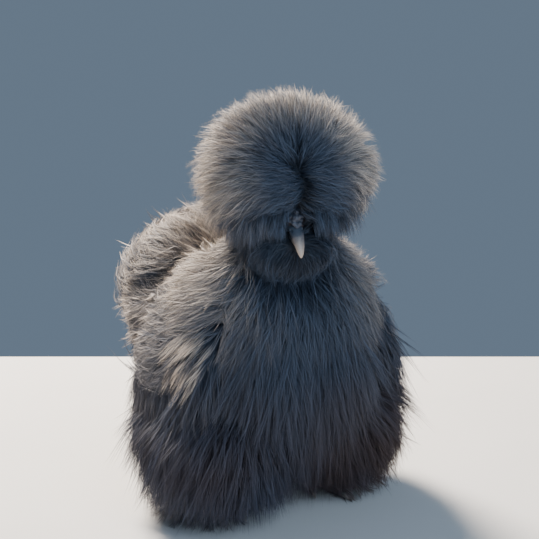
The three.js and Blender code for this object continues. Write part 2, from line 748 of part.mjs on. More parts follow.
function addTailTier(pieces, { count, from, spread, wide, length, width, raise }, draw) {
  for (let i = 0; i < count; i += 1) {
    const share = i / (count - 1) - 0.5;
    const fan = spread * share;
    const own = length * (1 + 0.07 * draw());
    const ahead = TAIL_AXIS.clone().applyAxisAngle(vec(1, 0, 0), raise);
    const over = vec(1, 0, 0).cross(ahead);
    ahead.applyAxisAngle(over, -0.5 * fan);
    const across = ahead.clone().cross(over).normalize();
    const start = from.clone().add(vec(wide * share, 0, -14 * share * share * 2));
    const sag = over.clone().multiplyScalar(-0.14 * own);
    const path = [0, 0.33, 0.67, 1].map((s) =>
      start.clone().addScaledVector(ahead, own * (s - 0.1)).addScaledVector(sag, s * s),
    );
    const acrosses = path.map((_, k) => tipped(across, path, k, 0.2 - 1.1 * share));
    pieces.addLock({ path, acrosses }, VANE, width, 1.8);
  }
}

// Locks in rings cover the tail's round end: how far along the spindle, how far they splay from
// the tail's axis, and how many stand all round. The topmost give way to the vanes.
const TAIL_RINGS = [
  { t: 0.915, splay: 0.45, count: 13, length: 44 },
  { t: 0.96, splay: 0.35, count: 9, length: 40 },
  { t: 0.985, splay: 0.15, count: 5, length: 36 },
];
function addTailRing(pieces, { t, splay, count, length }, draw) {
  for (let i = 0; i < count; i += 1) {
    const turn = (TAU * (i + 0.5 * (count % 2))) / count;
    if (Math.cos(turn) > 0.6) continue;
    const outward = body.point(t, turn).sub(body.point(t, turn + Math.PI)).normalize();
    const ahead = TAIL_AXIS.clone().addScaledVector(outward, splay + 0.05 * draw()).normalize();
    const start = body.point(t, turn).addScaledVector(outward, -3);
    const own = length * (1 + 0.1 * draw());
    const path = [0, 0.33, 0.67, 1].map((s) =>
      start.clone().addScaledVector(ahead, own * (s - 0.12)).add(vec(0, 0, -14 * s * s)),
    );
    const acrosses = path.map(() => ahead.clone().cross(outward).normalize());
    pieces.addLock({ path, acrosses }, LOCK, 20, 2.6);
  }
}

function addTail() {
  const tail = new Pieces().add(bodyCore(TORSO_END + HALF_CUT, 0.999, 5, 16));
  const draw = drawsFrom(71);
  for (const tier of TAIL_TIERS) addTailTier(tail, tier, draw);
  for (const ring of TAIL_RINGS) addTailRing(tail, ring, draw);
  addNode("tail", tail);
}

// Legs: a drumstick with hanging locks, a feathered shank, and a foot with five toes.
class Limb extends Surface {
  constructor(points, radii) {
    super(0, 1);
    this.line = new THREE.CatmullRomCurve3(points);
    const ovals = radii.map(([aside, ahead]) => vec(aside, ahead, 0));
    this.radii = new THREE.CatmullRomCurve3(ovals, false, "catmullrom", 0.5);
  }
  pointInside(t, turn, grow = 0) {
    const tangent = this.line.getTangent(t);
    const side = vec(1, 0, 0).addScaledVector(tangent, -tangent.x).normalize();
    const up = side.clone().cross(tangent);
    const { x: aside, y: ahead } = this.radii.getPoint(t);
    return this.line
      .getPoint(t)
      .addScaledVector(side, (aside + grow) * Math.sin(turn))
      .addScaledVector(up, (ahead + grow) * Math.cos(turn));
  }
}

const FLOOR_BLOCK = solidFromGeometry(new THREE.BoxGeometry(600, 600, 40).translate(0, 0, -20));
const onFloor = (solid) => solid.subtract(FLOOR_BLOCK);

const HIP = (side) => vec(side * 44, -6, 77);
const KNEE = (side) => vec(side * 46, -5, 58);
const HOCK = (side) => vec(side * 40, 8, 34);
const ANKLE = (side) => vec(side * 36, 6, 11);
const THIGH_OVALS = [[33, 46], [34, 45], [18, 24]]; // half width and half depth at each joint

function addThigh(name, side, seed) {
  const limb = new Limb([HIP(side), KNEE(side), HOCK(side)], THIGH_OVALS);
  const thigh = new Pieces().add((grow) => spindle(limb, 0, 1, { rings: 4, sides: 12, grow }));
  const shows = (t, turn) => {
    const { x, z } = limb.point(t, turn);
    return z > 30 && side * x > (z > 62 ? 36 : 14);
  };
  const region = { from: 0.15, to: 0.9, alongGap: 26, acrossGap: 25, keep: shows };
  const specAt = () => ({ length: 52, rise: 17, width: 29, thick: 2.8 });
  addCoat(thigh, limb, region, specAt, seed, hangingPath);
  addNode(name, thigh);
}

function addShank(name, side, seed) {
  const middle = HOCK(side).lerp(ANKLE(side), 0.5);
  const radii = [1.5, 0, 0.5].map((extra) => [SHANK_RADIUS + extra, SHANK_RADIUS + extra]);
  const limb = new Limb([HOCK(side), middle, ANKLE(side)], radii);
  const shank = new Pieces().add((grow) => spindle(limb, 0, 1, { rings: 3, sides: 8, grow }));
  const outer = side > 0 ? [radians(10), radians(190)] : [radians(170), radians(350)];
  const region = { from: 0.15, to: 0.5, turnFrom: outer[0], turnTo: outer[1], alongGap: 10, acrossGap: 10 };
  const specAt = () => ({ length: 22, rise: 22, width: 13, thick: 1.8, droop: 0, sink: 2.5 });
  addCoat(shank, limb, region, specAt, seed);
  shank.solids = shank.solids.map(onFloor);
  addNode(name, shank);
}

// Toes: degrees from straight ahead towards the outside, length as a share, and root radius.
const TOES = [
  { name: "inner", out: -24, share: 0.78, radius: 3.6, arch: 0 },
  { name: "middle", out: 4, share: 1, radius: 4, arch: 0 },
  { name: "outer", out: 30, share: 0.84, radius: 3.7, arch: 0 },
  { name: "hind", out: -158, share: 0.42, radius: 3.2, arch: 0 },
  { name: "fifth", out: -132, share: 0.42, radius: 2.8, arch: 0.8 },
];
const CLAW_LENGTH = 8;
const PALM_HEIGHT = 6.2;

function toePath(side, { out, share, radius, arch }) {
  const length = share * MIDDLE_TOE_LENGTH;
  const turn = radians(out);
  const ahead = vec(side * Math.sin(turn), -Math.cos(turn), 0);
  const resting = 0.78 * radius;
  return [0, 0.35, 0.7, 1].map((s) => {
    const height = arch
      ? PALM_HEIGHT + arch * length * s * s
      : THREE.MathUtils.lerp(PALM_HEIGHT, resting, Math.min(1, 1.6 * s));
    return ANKLE(side).addScaledVector(ahead, length * s).setZ(height);
  });
}

function addFoot(name, side, seed) {
  const foot = new Pieces();
  foot.add((grow) =>
    ellipsoid(ANKLE(side).setZ(7.2), grownBy(vec(7.5, 8, 7.6), grow), new THREE.Matrix4(), 8, 6),
  );
  for (const toe of TOES) {
    const radii = [1.15, 1, 0.92, 0.72].map((share) => [share * toe.radius, share * toe.radius]);
    const limb = new Limb(toePath(side, toe), radii);
    foot.add((grow) => spindle(limb, 0, 1, { rings: 3, sides: 5, grow }));
  }
  addFootPlumes(foot, side, seed);
  foot.solids = foot.solids.map(onFloor);
  addNode(name, foot);
  for (const toe of TOES) addClaw(name.replace("foot", "claw") + "_" + toe.name, side, toe);
}

function addClaw(name, side, toe) {
  const path = toePath(side, toe);
  const ahead = path[3].clone().sub(path[2]).normalize();
  const base = path[3].clone().addScaledVector(ahead, -1.5);
  const bend = vec(0, 0, (toe.arch ? 0.25 : -0.12) * CLAW_LENGTH);
  const points = [0, 0.4, 0.75, 1].map((s) =>
    base.clone().addScaledVector(ahead, CLAW_LENGTH * s).addScaledVector(bend, s * s),
  );
  const acrosses = points.map(() => ahead.clone().cross(UP).normalize());
  const claw = (grow) => onFloor(blade(points, acrosses, [3.4, 3, 1.9], [3.6, 3.2, 2.1], grow));
  addNode(name, new Pieces().add(claw));
}

// Feathers of the foot spread outwards and forwards, just clear of the floor.
const FOOT_PLUMES = 7;
function addFootPlumes(pieces, side, seed) {
  const draw = drawsFrom(seed);
  for (let i = 0; i < FOOT_PLUMES; i += 1) {
    const share = i / (FOOT_PLUMES - 1);
    const turn = radians(THREE.MathUtils.lerp(10, 125, share));
    const ahead = vec(side * Math.sin(turn), -Math.cos(turn), 0);
    const across = vec(Math.cos(turn), side * Math.sin(turn), 0).multiplyScalar(side);
    const tier = i % 2;
    const length = (46 + 5 * draw()) * (1 - 0.2 * Math.abs(share - 0.5));
    const base = ANKLE(side).setZ(9 + 3 * tier).addScaledVector(ahead, 2);
    const path = [0, 0.33, 0.67, 1].map((s) => {
      const height = (6 + 5 * tier) * s - (13 + 6 * tier) * s * s;
      return base.clone().addScaledVector(ahead, length * s).add(vec(0, 0, height));
    });
    const acrosses = path.map((_, k) => tipped(across, path, k, 0.15 * side));
    pieces.addLock({ path, acrosses }, LOCK, 14, 1.8);
  }
}

addEyes();
addHead();
addComb();
addBeak();
addCrest();
addBeard();
addNeck();
addWing("wing_right", -1, 41);
addWing("wing_left", 1, 43);
addTail();
addTorso();
addThigh("thigh_right", -1, 51);
addThigh("thigh_left", 1, 53);
addShank("shank_right", -1, 55);
addShank("shank_left", 1, 57);
addFoot("foot_right", -1, 61);
addFoot("foot_left", 1, 63);

// Materials: slate plumage with warm tips, mulberry skin, slate beak with a horn tip
const MATERIALS = {
  plumage: new THREE.MeshStandardMaterial({ color: 0x3d4148, roughness: 0.95, metalness: 0 }),
  skin: new THREE.MeshStandardMaterial({ color: 0x1d1c24, roughness: 0.7, metalness: 0 }),
  beak: new THREE.MeshStandardMaterial({ color: 0x857c76, roughness: 0.5, metalness: 0 }),
  comb: new THREE.MeshStandardMaterial({ color: 0x33272f, roughness: 0.6, metalness: 0 }),
  eye: new THREE.MeshStandardMaterial({ color: 0x0a0808, roughness: 0.1, metalness: 0 }),
  claw: new THREE.MeshStandardMaterial({ color: 0x5c5a5e, roughness: 0.45, metalness: 0 }),
};

function materialFor(name) {
  if (name.startsWith("eye")) return MATERIALS.eye;
  if (name.startsWith("beak")) return MATERIALS.beak;
  if (name.startsWith("claw")) return MATERIALS.claw;
  if (name === "comb") return MATERIALS.comb;
  if (name === "head") return MATERIALS.skin;
  return MATERIALS.plumage;
}

// Scene graph: the head's nodes hang in a group with its place and turn.
const bird = new THREE.Group();
const headGroup = new THREE.Group();
headMatrix.decompose(headGroup.position, headGroup.quaternion, headGroup.scale);
bird.add(headGroup);
const HEAD_NODES = ["head", "crest", "beard", "comb", "beak_upper", "beak_lower", "eye_right", "eye_left"];

for (const [name, { solid }] of made) {
  const { vertProperties, triVerts, numProp } = solid.getMesh();
  const positions = new Float32Array((vertProperties.length / numProp) * 3);
  for (let i = 0; i < positions.length / 3; i += 1) {
    positions.set(vertProperties.subarray(i * numProp, i * numProp + 3), i * 3);
  }
  const geometry = new THREE.BufferGeometry();
  geometry.setAttribute("position", new THREE.BufferAttribute(positions, 3));
  geometry.setIndex(new THREE.BufferAttribute(triVerts, 1));
  const inHead = HEAD_NODES.includes(name);
  if (inHead) geometry.applyMatrix4(headMatrix.clone().invert());
  geometry.computeVertexNormals();
  const mesh = new THREE.Mesh(geometry, materialFor(name));
  mesh.name = name;
  (inHead ? headGroup : bird).add(mesh);
}

// The origin is on the floor, under the middle of the bird's bounding box.
const standing = new THREE.Box3().setFromObject(bird, true);
const middle = standing.getCenter(vec(0, 0, 0));
bird.position.set(-middle.x, -middle.y, -standing.min.z);

export default bird;
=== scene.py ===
# A silkie hen standing still with her head lowered and turned, life size, in metres.
# One skin carries the whole bird. Her plumage is mesh: fine strands in tufts, and silky plumes
# on the wings, tail and feet. Beak, comb, eyes and claws are pieces of their own.
import math

import bpy
import numpy as np
from mathutils import Matrix, Vector
from mathutils.bvhtree import BVHTree


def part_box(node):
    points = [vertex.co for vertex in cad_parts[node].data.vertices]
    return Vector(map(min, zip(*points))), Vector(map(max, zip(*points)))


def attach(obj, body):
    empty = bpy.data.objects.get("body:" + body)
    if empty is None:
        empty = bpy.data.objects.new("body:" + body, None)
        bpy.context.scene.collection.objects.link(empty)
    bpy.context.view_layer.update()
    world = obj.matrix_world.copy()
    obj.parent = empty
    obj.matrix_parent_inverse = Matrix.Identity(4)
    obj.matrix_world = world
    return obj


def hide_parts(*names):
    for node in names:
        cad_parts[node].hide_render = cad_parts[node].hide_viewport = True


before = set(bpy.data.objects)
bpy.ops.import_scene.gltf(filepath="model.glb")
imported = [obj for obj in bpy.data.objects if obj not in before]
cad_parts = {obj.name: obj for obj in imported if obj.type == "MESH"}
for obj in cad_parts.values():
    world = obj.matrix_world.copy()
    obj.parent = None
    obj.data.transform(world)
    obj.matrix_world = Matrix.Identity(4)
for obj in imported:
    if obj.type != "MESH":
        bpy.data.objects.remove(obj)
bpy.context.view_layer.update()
rng = np.random.default_rng(7)

# Driving dimensions, the same as the solids'
WIDE = 0.067  # half the body's width
DEEP = 0.104  # its depth
COAT = 0.021
SKULL_RADII = (0.0135, 0.020, 0.0145)
CREST_COAT = 0.025
BEARD_COAT = 0.017
SHANK_RADIUS = 0.0055
MIDDLE_TOE_LENGTH = 0.040
SKIN_DEPTH = 0.001

# Spine from the skull to the tail root: place, half width, depth to the back and to the front
STATIONS = [
    (-0.014, -0.045, 0.197, 0.25 * WIDE, 0.15 * DEEP, 0.15 * DEEP),
    (-0.010, -0.041, 0.177, 0.37 * WIDE, 0.22 * DEEP, 0.20 * DEEP),
    (-0.004, -0.029, 0.150, 0.74 * WIDE, 0.33 * DEEP, 0.45 * DEEP),
    (0, -0.006, 0.117, 0.98 * WIDE, 0.42 * DEEP, 0.55 * DEEP),
    (0, 0.029, 0.109, WIDE, 0.47 * DEEP, 0.52 * DEEP),
    (0, 0.065, 0.125, 0.95 * WIDE, 0.46 * DEEP, 0.46 * DEEP),
    (0, 0.096, 0.148, 0.74 * WIDE, 0.34 * DEEP, 0.32 * DEEP),
]
NECK_LIE = math.radians(-74)
TAIL_LIE = math.radians(34)
TAIL_ROUNDING = 0.09
NECK_END = 0.3  # where the neck's coat ends and the rump's begins, as shares of the spine
RUMP = 0.84

HEAD_AT = Vector((-0.015, -0.050, 0.209))
HEAD_TURN = math.radians(-14)
HEAD_BOW = math.radians(20)
EYE_RADIUS = 0.004
CREST_CENTRE = (0, 0.009, 0.025)
CREST_RADII = (0.035, 0.030, 0.024)
BEARD_CENTRE = (0, -0.015, -0.019)
BEARD_RADII = (0.024, 0.017, 0.015)
BEARD_POLE = (0, -0.75, 0.65)  # its tufts run from here, round its front and down
BEARD_FALL = 1.1


def eye_centre(side):
    return Vector((side * 0.74 * SKULL_RADII[0], -0.42 * SKULL_RADII[1], 0.15 * SKULL_RADII[2]))


def middle_of(node):
    low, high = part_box(node)
    return (low + high) / 2


# The solids stand over the frame's origin: the eyes tell how far their own origin was moved.
head_turned = Matrix.Rotation(HEAD_TURN, 4, "Z") @ Matrix.Rotation(HEAD_BOW, 4, "X")
between_eyes = (middle_of("eye_left") + middle_of("eye_right")) / 2
between_eyes_own = (eye_centre(-1) + eye_centre(1)) / 2
SHIFT = between_eyes - (HEAD_AT + head_turned @ between_eyes_own)
SHIFT.z = 0
HEAD = Matrix.Translation(HEAD_AT + SHIFT) @ head_turned
HEAD_TURNED = HEAD.to_3x3()
HEAD_AXES = np.array(HEAD_TURNED)
HEAD_MIDDLE = np.array(HEAD_AT + SHIFT) @ HEAD_AXES
TAIL_PITCH = math.atan2(0.61, 0.79)
DOWN = np.array((0, 0, -1.0))
UP = -DOWN
SIDEWAYS = np.array((1.0, 0, 0))
THIRDS = np.array((0, 1 / 3, 2 / 3, 1))
STEPS = np.array((0, 0.36, 0.7, 1))  # where a strand has its points, as shares of its length


# Small helpers


def unit(rows):
    return rows / np.maximum(np.linalg.norm(rows, axis=-1, keepdims=True), 1e-12)


def dot(a, b):
    return (a * b).sum(-1, keepdims=True)


def tilted(angle):
    """Ahead and up in the bird's middle plane, tilted by an angle above level."""
    ahead = np.column_stack((0 * angle, np.cos(angle), np.sin(angle)))
    return ahead, np.column_stack((0 * angle, -np.sin(angle), np.cos(angle)))


def between(rows, t):
    """Smooth values between evenly spaced rows, for each t from 0 to 1."""
    rows = np.asarray(rows, float)
    place = np.clip(t, 0, 1) * (len(rows) - 1)
    i = np.minimum(place.astype(int), len(rows) - 2)
    f = (place - i)[:, None]
    ends = np.vstack([2 * rows[0] - rows[1], rows, 2 * rows[-1] - rows[-2]])
    a, b, c, d = (ends[i + k] for k in range(4))
    return b + f / 2 * ((c - a) + f * ((2 * a - 5 * b + 4 * c - d) + f * (3 * (b - c) + d - a)))


def step_between(low, high, values):
    share = np.clip((values - low) / (high - low), 0, 1)
    return share * share * (3 - 2 * share)


def in_head(points):
    """The same points in the head's own frame: aside, back and up from its middle."""
    return points @ HEAD_AXES - HEAD_MIDDLE


def vertices_of(o):
    return np.array([v.co for v in o.data.vertices])


def select_only(*objects):
    bpy.ops.object.select_all(action="DESELECT")
    for o in objects:
        o.select_set(True)
    bpy.context.view_layer.objects.active = objects[-1]


def axes_of(*ways):
    """The turn that takes x, y and z to these ways."""
    return Matrix(ways).transposed()


def settle(o):
    select_only(o)
    bpy.ops.object.transform_apply(location=True, rotation=True, scale=True)
    return o


def add_modifier(o, kind, **settings):
    select_only(o)
    modifier = o.modifiers.new(kind.title(), kind)
    for key, value in settings.items():
        setattr(modifier, key, value)
    bpy.ops.object.modifier_apply(modifier=modifier.name)


def join(objects, name):
    select_only(*objects)
    bpy.ops.object.join()
    joined = bpy.context.view_layer.objects.active
    joined.name = name
    return settle(joined)


def edit(o, *steps):
    """Run each operator of the steps on the whole mesh, with its settings."""
    select_only(o)
    bpy.ops.object.mode_set(mode="EDIT")
    for operator, settings in steps:
        bpy.ops.mesh.select_all(action="SELECT")
        operator(**settings)
    bpy.ops.object.mode_set(mode="OBJECT")
    return o


def melt(objects, name, voxel, rounds):
    """Closed forms, joined and remeshed as one surface, and smoothed."""
    o = join(objects, name)
    add_modifier(o, "REMESH", mode="VOXEL", voxel_size=voxel)
    add_modifier(o, "SMOOTH", factor=0.5, iterations=rounds)
    return o


def smooth(o, angle=180):
    select_only(o)
    bpy.ops.object.shade_smooth_by_angle(angle=math.radians(angle))
    return o


# Lofts: oval rings are placed along a line and bridged. A ring is middle, way ahead, way
# aside, half width and half height.


def loft(name, rings, sides):
    circles = []
    for middle, ahead, aside, wide, high in rings:
        ahead = Vector(ahead).normalized()
        aside = Vector(aside)
        aside = (aside - ahead * ahead.dot(aside)).normalized()
        turn = axes_of(aside, ahead.cross(aside), ahead)
        bpy.ops.mesh.primitive_circle_add(vertices=sides, location=middle, rotation=turn.to_euler())
        circles.append(bpy.context.object)
        circles[-1].scale = (wide, high, 1)
    return edit(
        join(circles, name),
        (bpy.ops.mesh.bridge_edge_loops, {"type": "SINGLE"}),
        (bpy.ops.mesh.fill_holes, {"sides": 0}),
        (bpy.ops.mesh.normals_make_consistent, {"inside": False}),
    )


def limb(name, points, radii, sides):
    """A loft along a smooth line, with oval radii that change smoothly."""
    t = np.linspace(0, 1, 9)
    line = between(points, t)
    ways = np.gradient(line, axis=0)
    rings = [(point, way, (1, 0, 0), *half) for point, way, half in zip(line, ways, between(radii, t))]
    return loft(name, rings, sides)


def oval(name, centre, radii, matrix=Matrix.Identity(4), segments=32):
    bpy.ops.mesh.primitive_uv_sphere_add(segments=segments, ring_count=segments // 2, radius=1)
    o = bpy.context.object
    o.name = name
    o.matrix_world = matrix @ Matrix.Translation(centre) @ Matrix.Diagonal((*radii, 1))
    return settle(o)


# The body's own measures: t along the spine, turn round it, 0 along the back
SPINE_PLACES = 121


def spine(t):
    rows = between(STATIONS, t)
    ahead, up = tilted(NECK_LIE + (TAIL_LIE - NECK_LIE) * t)
    return rows[:, :3] + np.array(SHIFT), ahead, up, rows[:, 3:]


def body_point(t, turn):
    t, turn = np.atleast_1d(t), np.atleast_1d(turn)
    middle, _, up, radii = spine(t)
    depth = np.where(np.cos(turn) > 0, radii[:, 1], radii[:, 2])
    point = middle + up * (depth * np.cos(turn))[:, None]
    point[:, 0] += radii[:, 0] * np.sin(turn)
    return point


def body_place(points):
    t = np.linspace(0, 1, SPINE_PLACES)
    middle, ahead, up, _ = spine(t)
    off = points @ ahead.T - (middle * ahead).sum(1)
    i = np.abs(off).argmin(1)
    from_middle = points - middle[i]
    return t[i], np.arctan2(from_middle[:, 0], (from_middle * up[i]).sum(1)), ahead[i]


BODY_CLOSING = np.array((0.85, 0.6, 0.4, 0.2, 0.1, 0.03))  # rings of the rounded end


def make_body():
    t = np.concatenate([np.linspace(0, 0.9, 25), 1 - TAIL_ROUNDING * BODY_CLOSING])
    middle, ahead, up, radii = spine(t)
    left = np.maximum(0, (t - 1 + TAIL_ROUNDING) / TAIL_ROUNDING)
    closing = np.sqrt(1 - left**2)
    rings = []
    for i in range(len(t)):
        wide, back, front = radii[i] * closing[i] - SKIN_DEPTH
        centre = middle[i] + up[i] * (back - front) / 2
        high = (back + front) / 2
        rings.append((centre, ahead[i], (1, 0, 0), max(wide, 0.002), max(high, 0.002)))
    return loft("body", rings, 40)


# Wings: a flat pad on each flank, sunk into it
WING_PLACE = (0.54, math.radians(68))
WING_PAD_RADII = (0.046, 0.045, 0.0115)
WING_SUNK = 0.007


def make_wing_pad(side):
    t, turn = WING_PLACE[0], side * WING_PLACE[1]
    across = unit(body_point(t, turn + 0.01)[0] - body_point(t, turn - 0.01)[0])
    along = unit(body_point(t + 0.01, turn)[0] - body_point(t - 0.01, turn)[0])
    out = unit(np.cross(across, along))
    axes = axes_of(along, across, out).to_4x4()
    seat = Matrix.Translation(body_point(t, turn)[0] - WING_SUNK * out) @ axes
    return oval("wing_pad", (0, 0, 0), WING_PAD_RADII, seat)


# Legs, from the hip down


def leg_point(side, x, y, z):
    return np.array((side * x, y, z)) + np.array(SHIFT)


HIP = (0.044, -0.006, 0.077)
KNEE = (0.046, -0.005, 0.058)
HOCK = (0.040, 0.008, 0.034)
ANKLE = (0.036, 0.006, 0.011)
PALM_RADII = (0.0075, 0.008, 0.0072)
PALM_HEIGHT = 0.0062  # of the toes' middle lines where they leave the palm

# Toes: degrees from straight ahead towards the outside, length as a share, root radius, arch
TOES = {
    "inner": (-24, 0.78, 0.0036, 0),
    "middle": (4, 1, 0.0040, 0),
    "outer": (30, 0.84, 0.0037, 0),
    "hind": (-158, 0.42, 0.0032, 0),
    "fifth": (-132, 0.42, 0.0028, 0.8),
}


def make_thigh(side):
    points = [leg_point(side, *HIP), leg_point(side, *KNEE), leg_point(side, *HOCK)]
    return limb("thigh", points, [(0.032, 0.045), (0.033, 0.044), (0.017, 0.023)], 28)


def make_shank(side):
    hock, ankle = leg_point(side, *HOCK), leg_point(side, *ANKLE)
    middle = hock + 0.5 * (ankle - hock)
    radii = [(SHANK_RADIUS + extra, SHANK_RADIUS + extra) for extra in (0.0015, 0, 0.0005)]
    return limb("shank", [hock, middle, ankle], radii, 18)


def toe_line(side, toe, shares):
    out, share, radius, arch = TOES[toe]
    length = share * MIDDLE_TOE_LENGTH
    turn = math.radians(out)
    ahead = np.array((side * math.sin(turn), -math.cos(turn), 0))
    line = []
    for s in shares:
        settled = min(1, 1.6 * s)
        height = PALM_HEIGHT + (0.86 * radius - PALM_HEIGHT) * settled
        if arch:
            height = PALM_HEIGHT + arch * length * s * s
        point = leg_point(side, *ANKLE) + ahead * length * s
        point[2] = height
        line.append(point)
    return np.array(line), ahead


def toe_thickness(radius, share):
    return radius * np.interp(share, (0, 0.35, 0.7, 1), (1.15, 1, 0.92, 0.7))


def make_toe(side, toe):
    shares = np.linspace(0, 1, 13)
    line, ahead = toe_line(side, toe, shares)
    radius = TOES[toe][2]
    pads = 1 + 0.07 * np.cos(2 * math.pi * 3 * shares + 0.4)
    radii = toe_thickness(radius, shares) * pads
    ways = np.gradient(line, axis=0)
    aside = (-ahead[1], ahead[0], 0)
    rings = [(line[i], ways[i], aside, radii[i], radii[i]) for i in range(len(shares))]
    return loft("toe", rings, 14)


# Skin: all that is flesh, as one surface
VOXEL = 0.0016
LEVEL_SOLE = 0.0004
REGION_REACH = 0.008  # how far from its own form a region of the skin can lie
BARE = ("skull", "shank", "foot")
WINGS = ("wing_left", "wing_right")
SIDES = (("right", -1), ("left", 1))


def make_cores():
    cores = {"body": [make_body()]}
    cores["crest"] = [oval("crest", CREST_CENTRE, [r - SKIN_DEPTH for r in CREST_RADII], HEAD)]
    cores["beard"] = [oval("beard", BEARD_CENTRE, [r - SKIN_DEPTH for r in BEARD_RADII], HEAD)]
    cores["skull"] = [oval("skull", (0, 0, 0), SKULL_RADII, HEAD)]
    for name, side in SIDES:
        cores["wing_" + name] = [make_wing_pad(side)]
        cores["thigh_" + name] = [make_thigh(side)]
        cores["shank_" + name] = [make_shank(side)]
        palm = leg_point(side, *ANKLE[:2], PALM_RADII[2])
        foot = [oval("palm", palm, PALM_RADII, segments=16)]
        foot += [make_toe(side, toe) for toe in TOES]
        cores["foot_" + name] = foot
    return cores


def tree_of(objects):
    points, faces = [], []
    for o in objects:
        first = len(points)
        points += [v.co.copy() for v in o.data.vertices]
        faces += [[first + i for i in p.vertices] for p in o.data.polygons]
    return BVHTree.FromPolygons(points, faces)


cores = make_cores()
REGIONS = list(cores)
core_trees = {name: tree_of(objects) for name, objects in cores.items()}
skin = melt([o for objects in cores.values() for o in objects], "skin", VOXEL, 5)
level = {"plane_co": (0, 0, LEVEL_SOLE), "plane_no": (0, 0, 1), "clear_inner": True, "use_fill": True}
unwrap = {"angle_limit": math.radians(70), "island_margin": 0.001}
edit(skin, (bpy.ops.mesh.bisect, level), (bpy.ops.uv.smart_project, unwrap))
smooth(skin)


class Hide:
    """The skin's surface as arrays: where roots stand, and what lies nearest a point."""

    def __init__(self, mesh):
        mesh.calc_loop_triangles()
        self.points = self.read(mesh.vertices, "co", 3, float)
        self.normals = self.read(mesh.vertices, "normal", 3, float)
        self.corners = self.read(mesh.loop_triangles, "vertices", 3, int)
        loops = self.read(mesh.loop_triangles, "loops", 3, int)
        flat = self.read(mesh.uv_layers.active.data, "uv", 2, float)
        self.flat = flat[loops]
        a, b, c = (self.points[self.corners[:, k]] for k in range(3))
        self.areas = np.linalg.norm(np.cross(b - a, c - a), axis=1) / 2
        self.tree = BVHTree.FromPolygons(self.points.tolist(), self.corners.tolist())
        self.region = self.classify()

    @staticmethod
    def read(items, key, width, kind):
        values = np.zeros((len(items), width), np.float32 if kind is float else np.int32)
        items.foreach_get(key, values.ravel())
        return values.astype(kind)

    def classify(self):
        best = np.full(len(self.points), 1.0)
        region = np.zeros(len(self.points), int)
        for k, name in enumerate(REGIONS):
            find = core_trees[name].find_nearest
            for i, point in enumerate(self.points):
                distance = find(point, REGION_REACH)[3]
                if distance is not None and distance < best[i]:
                    best[i] = distance
                    region[i] = k
        return region

    def roots(self, names, count, keep=None):
        """Places spread at random over some regions: points, normals, flat places."""
        wanted = np.isin(self.region[self.corners[:, 0]], [REGIONS.index(n) for n in names])
        chance = self.areas * wanted
        if keep is not None:
            chance = chance * keep(self.points[self.corners[:, 0]])
        face = rng.choice(len(chance), count, p=chance / chance.sum())
        share = rng.random((count, 2))
        fold = share.sum(1) > 1
        share[fold] = 1 - share[fold]
        weights = np.stack([1 - share.sum(1), share[:, 0], share[:, 1]], 1)[:, :, None]
        corners = self.corners[face]
        points = (self.points[corners] * weights).sum(1)
        normals = unit((self.normals[corners] * weights).sum(1))
        return points, normals, (self.flat[face] * weights).sum(1)

    def nearest(self, points):
        """The skin's nearest places: points, normals and faces."""
        found = [self.tree.find_nearest(p) for p in points]
        face = [f[2] for f in found]
        return np.array([f[0] for f in found]), unit(self.normals[self.corners[face]].sum(1)), face


hide = Hide(skin.data)


def on_skin(points):
    """The nearest places of the skin: point, normal and flat place."""
    points, normals, face = hide.nearest(points)
    return points, normals, hide.flat[face].mean(1)


# Plumage: where it lies. Each way is a direction at given points, before it is laid on the skin.


# The crest parts along a line that runs up from the beak: its two ends, as angles above level
PARTING = (math.radians(-12), math.radians(30))
PARTING_WANDER = 0.10
SWIRL_SCALE, SWIRL = 700, 0.13  # waves in the crest's lie: radians per metre, and strength
WOOL_SCALE, WOOL = 330, 0.5  # and in the lie of back and wings


def parting_at(points):
    """Outward directions from the crest's centre, and those to the nearest place of its parting."""
    out = unit(points - np.array(HEAD @ Vector(CREST_CENTRE)))
    side_axis, back_axis, up_axis = HEAD_AXES.T
    angle = np.clip(np.arctan2(out @ up_axis, -(out @ back_axis)), *PARTING)[:, None]
    wander = PARTING_WANDER * side_axis * np.sin(5 * angle + 1)
    return out, unit(up_axis * np.sin(angle) - back_axis * np.cos(angle) + wander)


def cheek_share(points):
    """How far a place belongs to the crest's low sides, which hang beside the face."""
    own = in_head(points)
    return step_between(0.008, 0.028, np.abs(own[:, 0])) * step_between(0.044, 0.012, own[:, 2])


def crest_way(points):
    """From the parting outwards, with small swirls, and hanging at the low sides."""
    x, y, z = (points * SWIRL_SCALE).T
    swirl = np.stack([np.sin(y + 1.7 * z), np.sin(1.3 * z + x), np.sin(1.1 * x - y)], 1)
    out, parting = parting_at(points)
    fall = 0.1 + 0.9 * cheek_share(points)
    return unit(out * dot(out, parting) - parting) + fall[:, None] * DOWN + SWIRL * swirl


def beard_way(points):
    out = unit(points - np.array(HEAD @ Vector(BEARD_CENTRE)))
    pole = np.array((HEAD_TURNED @ Vector(BEARD_POLE)).normalized())
    return unit(out * dot(out, pole) - pole) + BEARD_FALL * DOWN


def face_way(points):
    back = np.array(HEAD_TURNED @ Vector((0, 1, 0.35)))
    return np.broadcast_to(back, points.shape)


# The breast's and belly's plumage fans out to both sides of this line
FAN_CENTRE = -0.012
FAN = 10.0


def fanned(points):
    return np.clip(FAN * (points[:, :1] - FAN_CENTRE), -0.7, 0.7) * SIDEWAYS


def body_way(points):
    t, turn, ahead = body_place(points)
    low = np.maximum(0, -np.cos(turn))
    hanging = low**2 * np.minimum(1, t / 0.4) * np.clip((0.75 - t) / 0.2, 0, 1)
    return ahead + (1.5 * hanging + 0.25)[:, None] * DOWN + low[:, None] * fanned(points)


def rump_way(points):
    """Along the body, and up over its rounded end."""
    t, _, ahead = body_place(points)
    return ahead - 1.1 * step_between(0.90, 0.99, t)[:, None] * DOWN


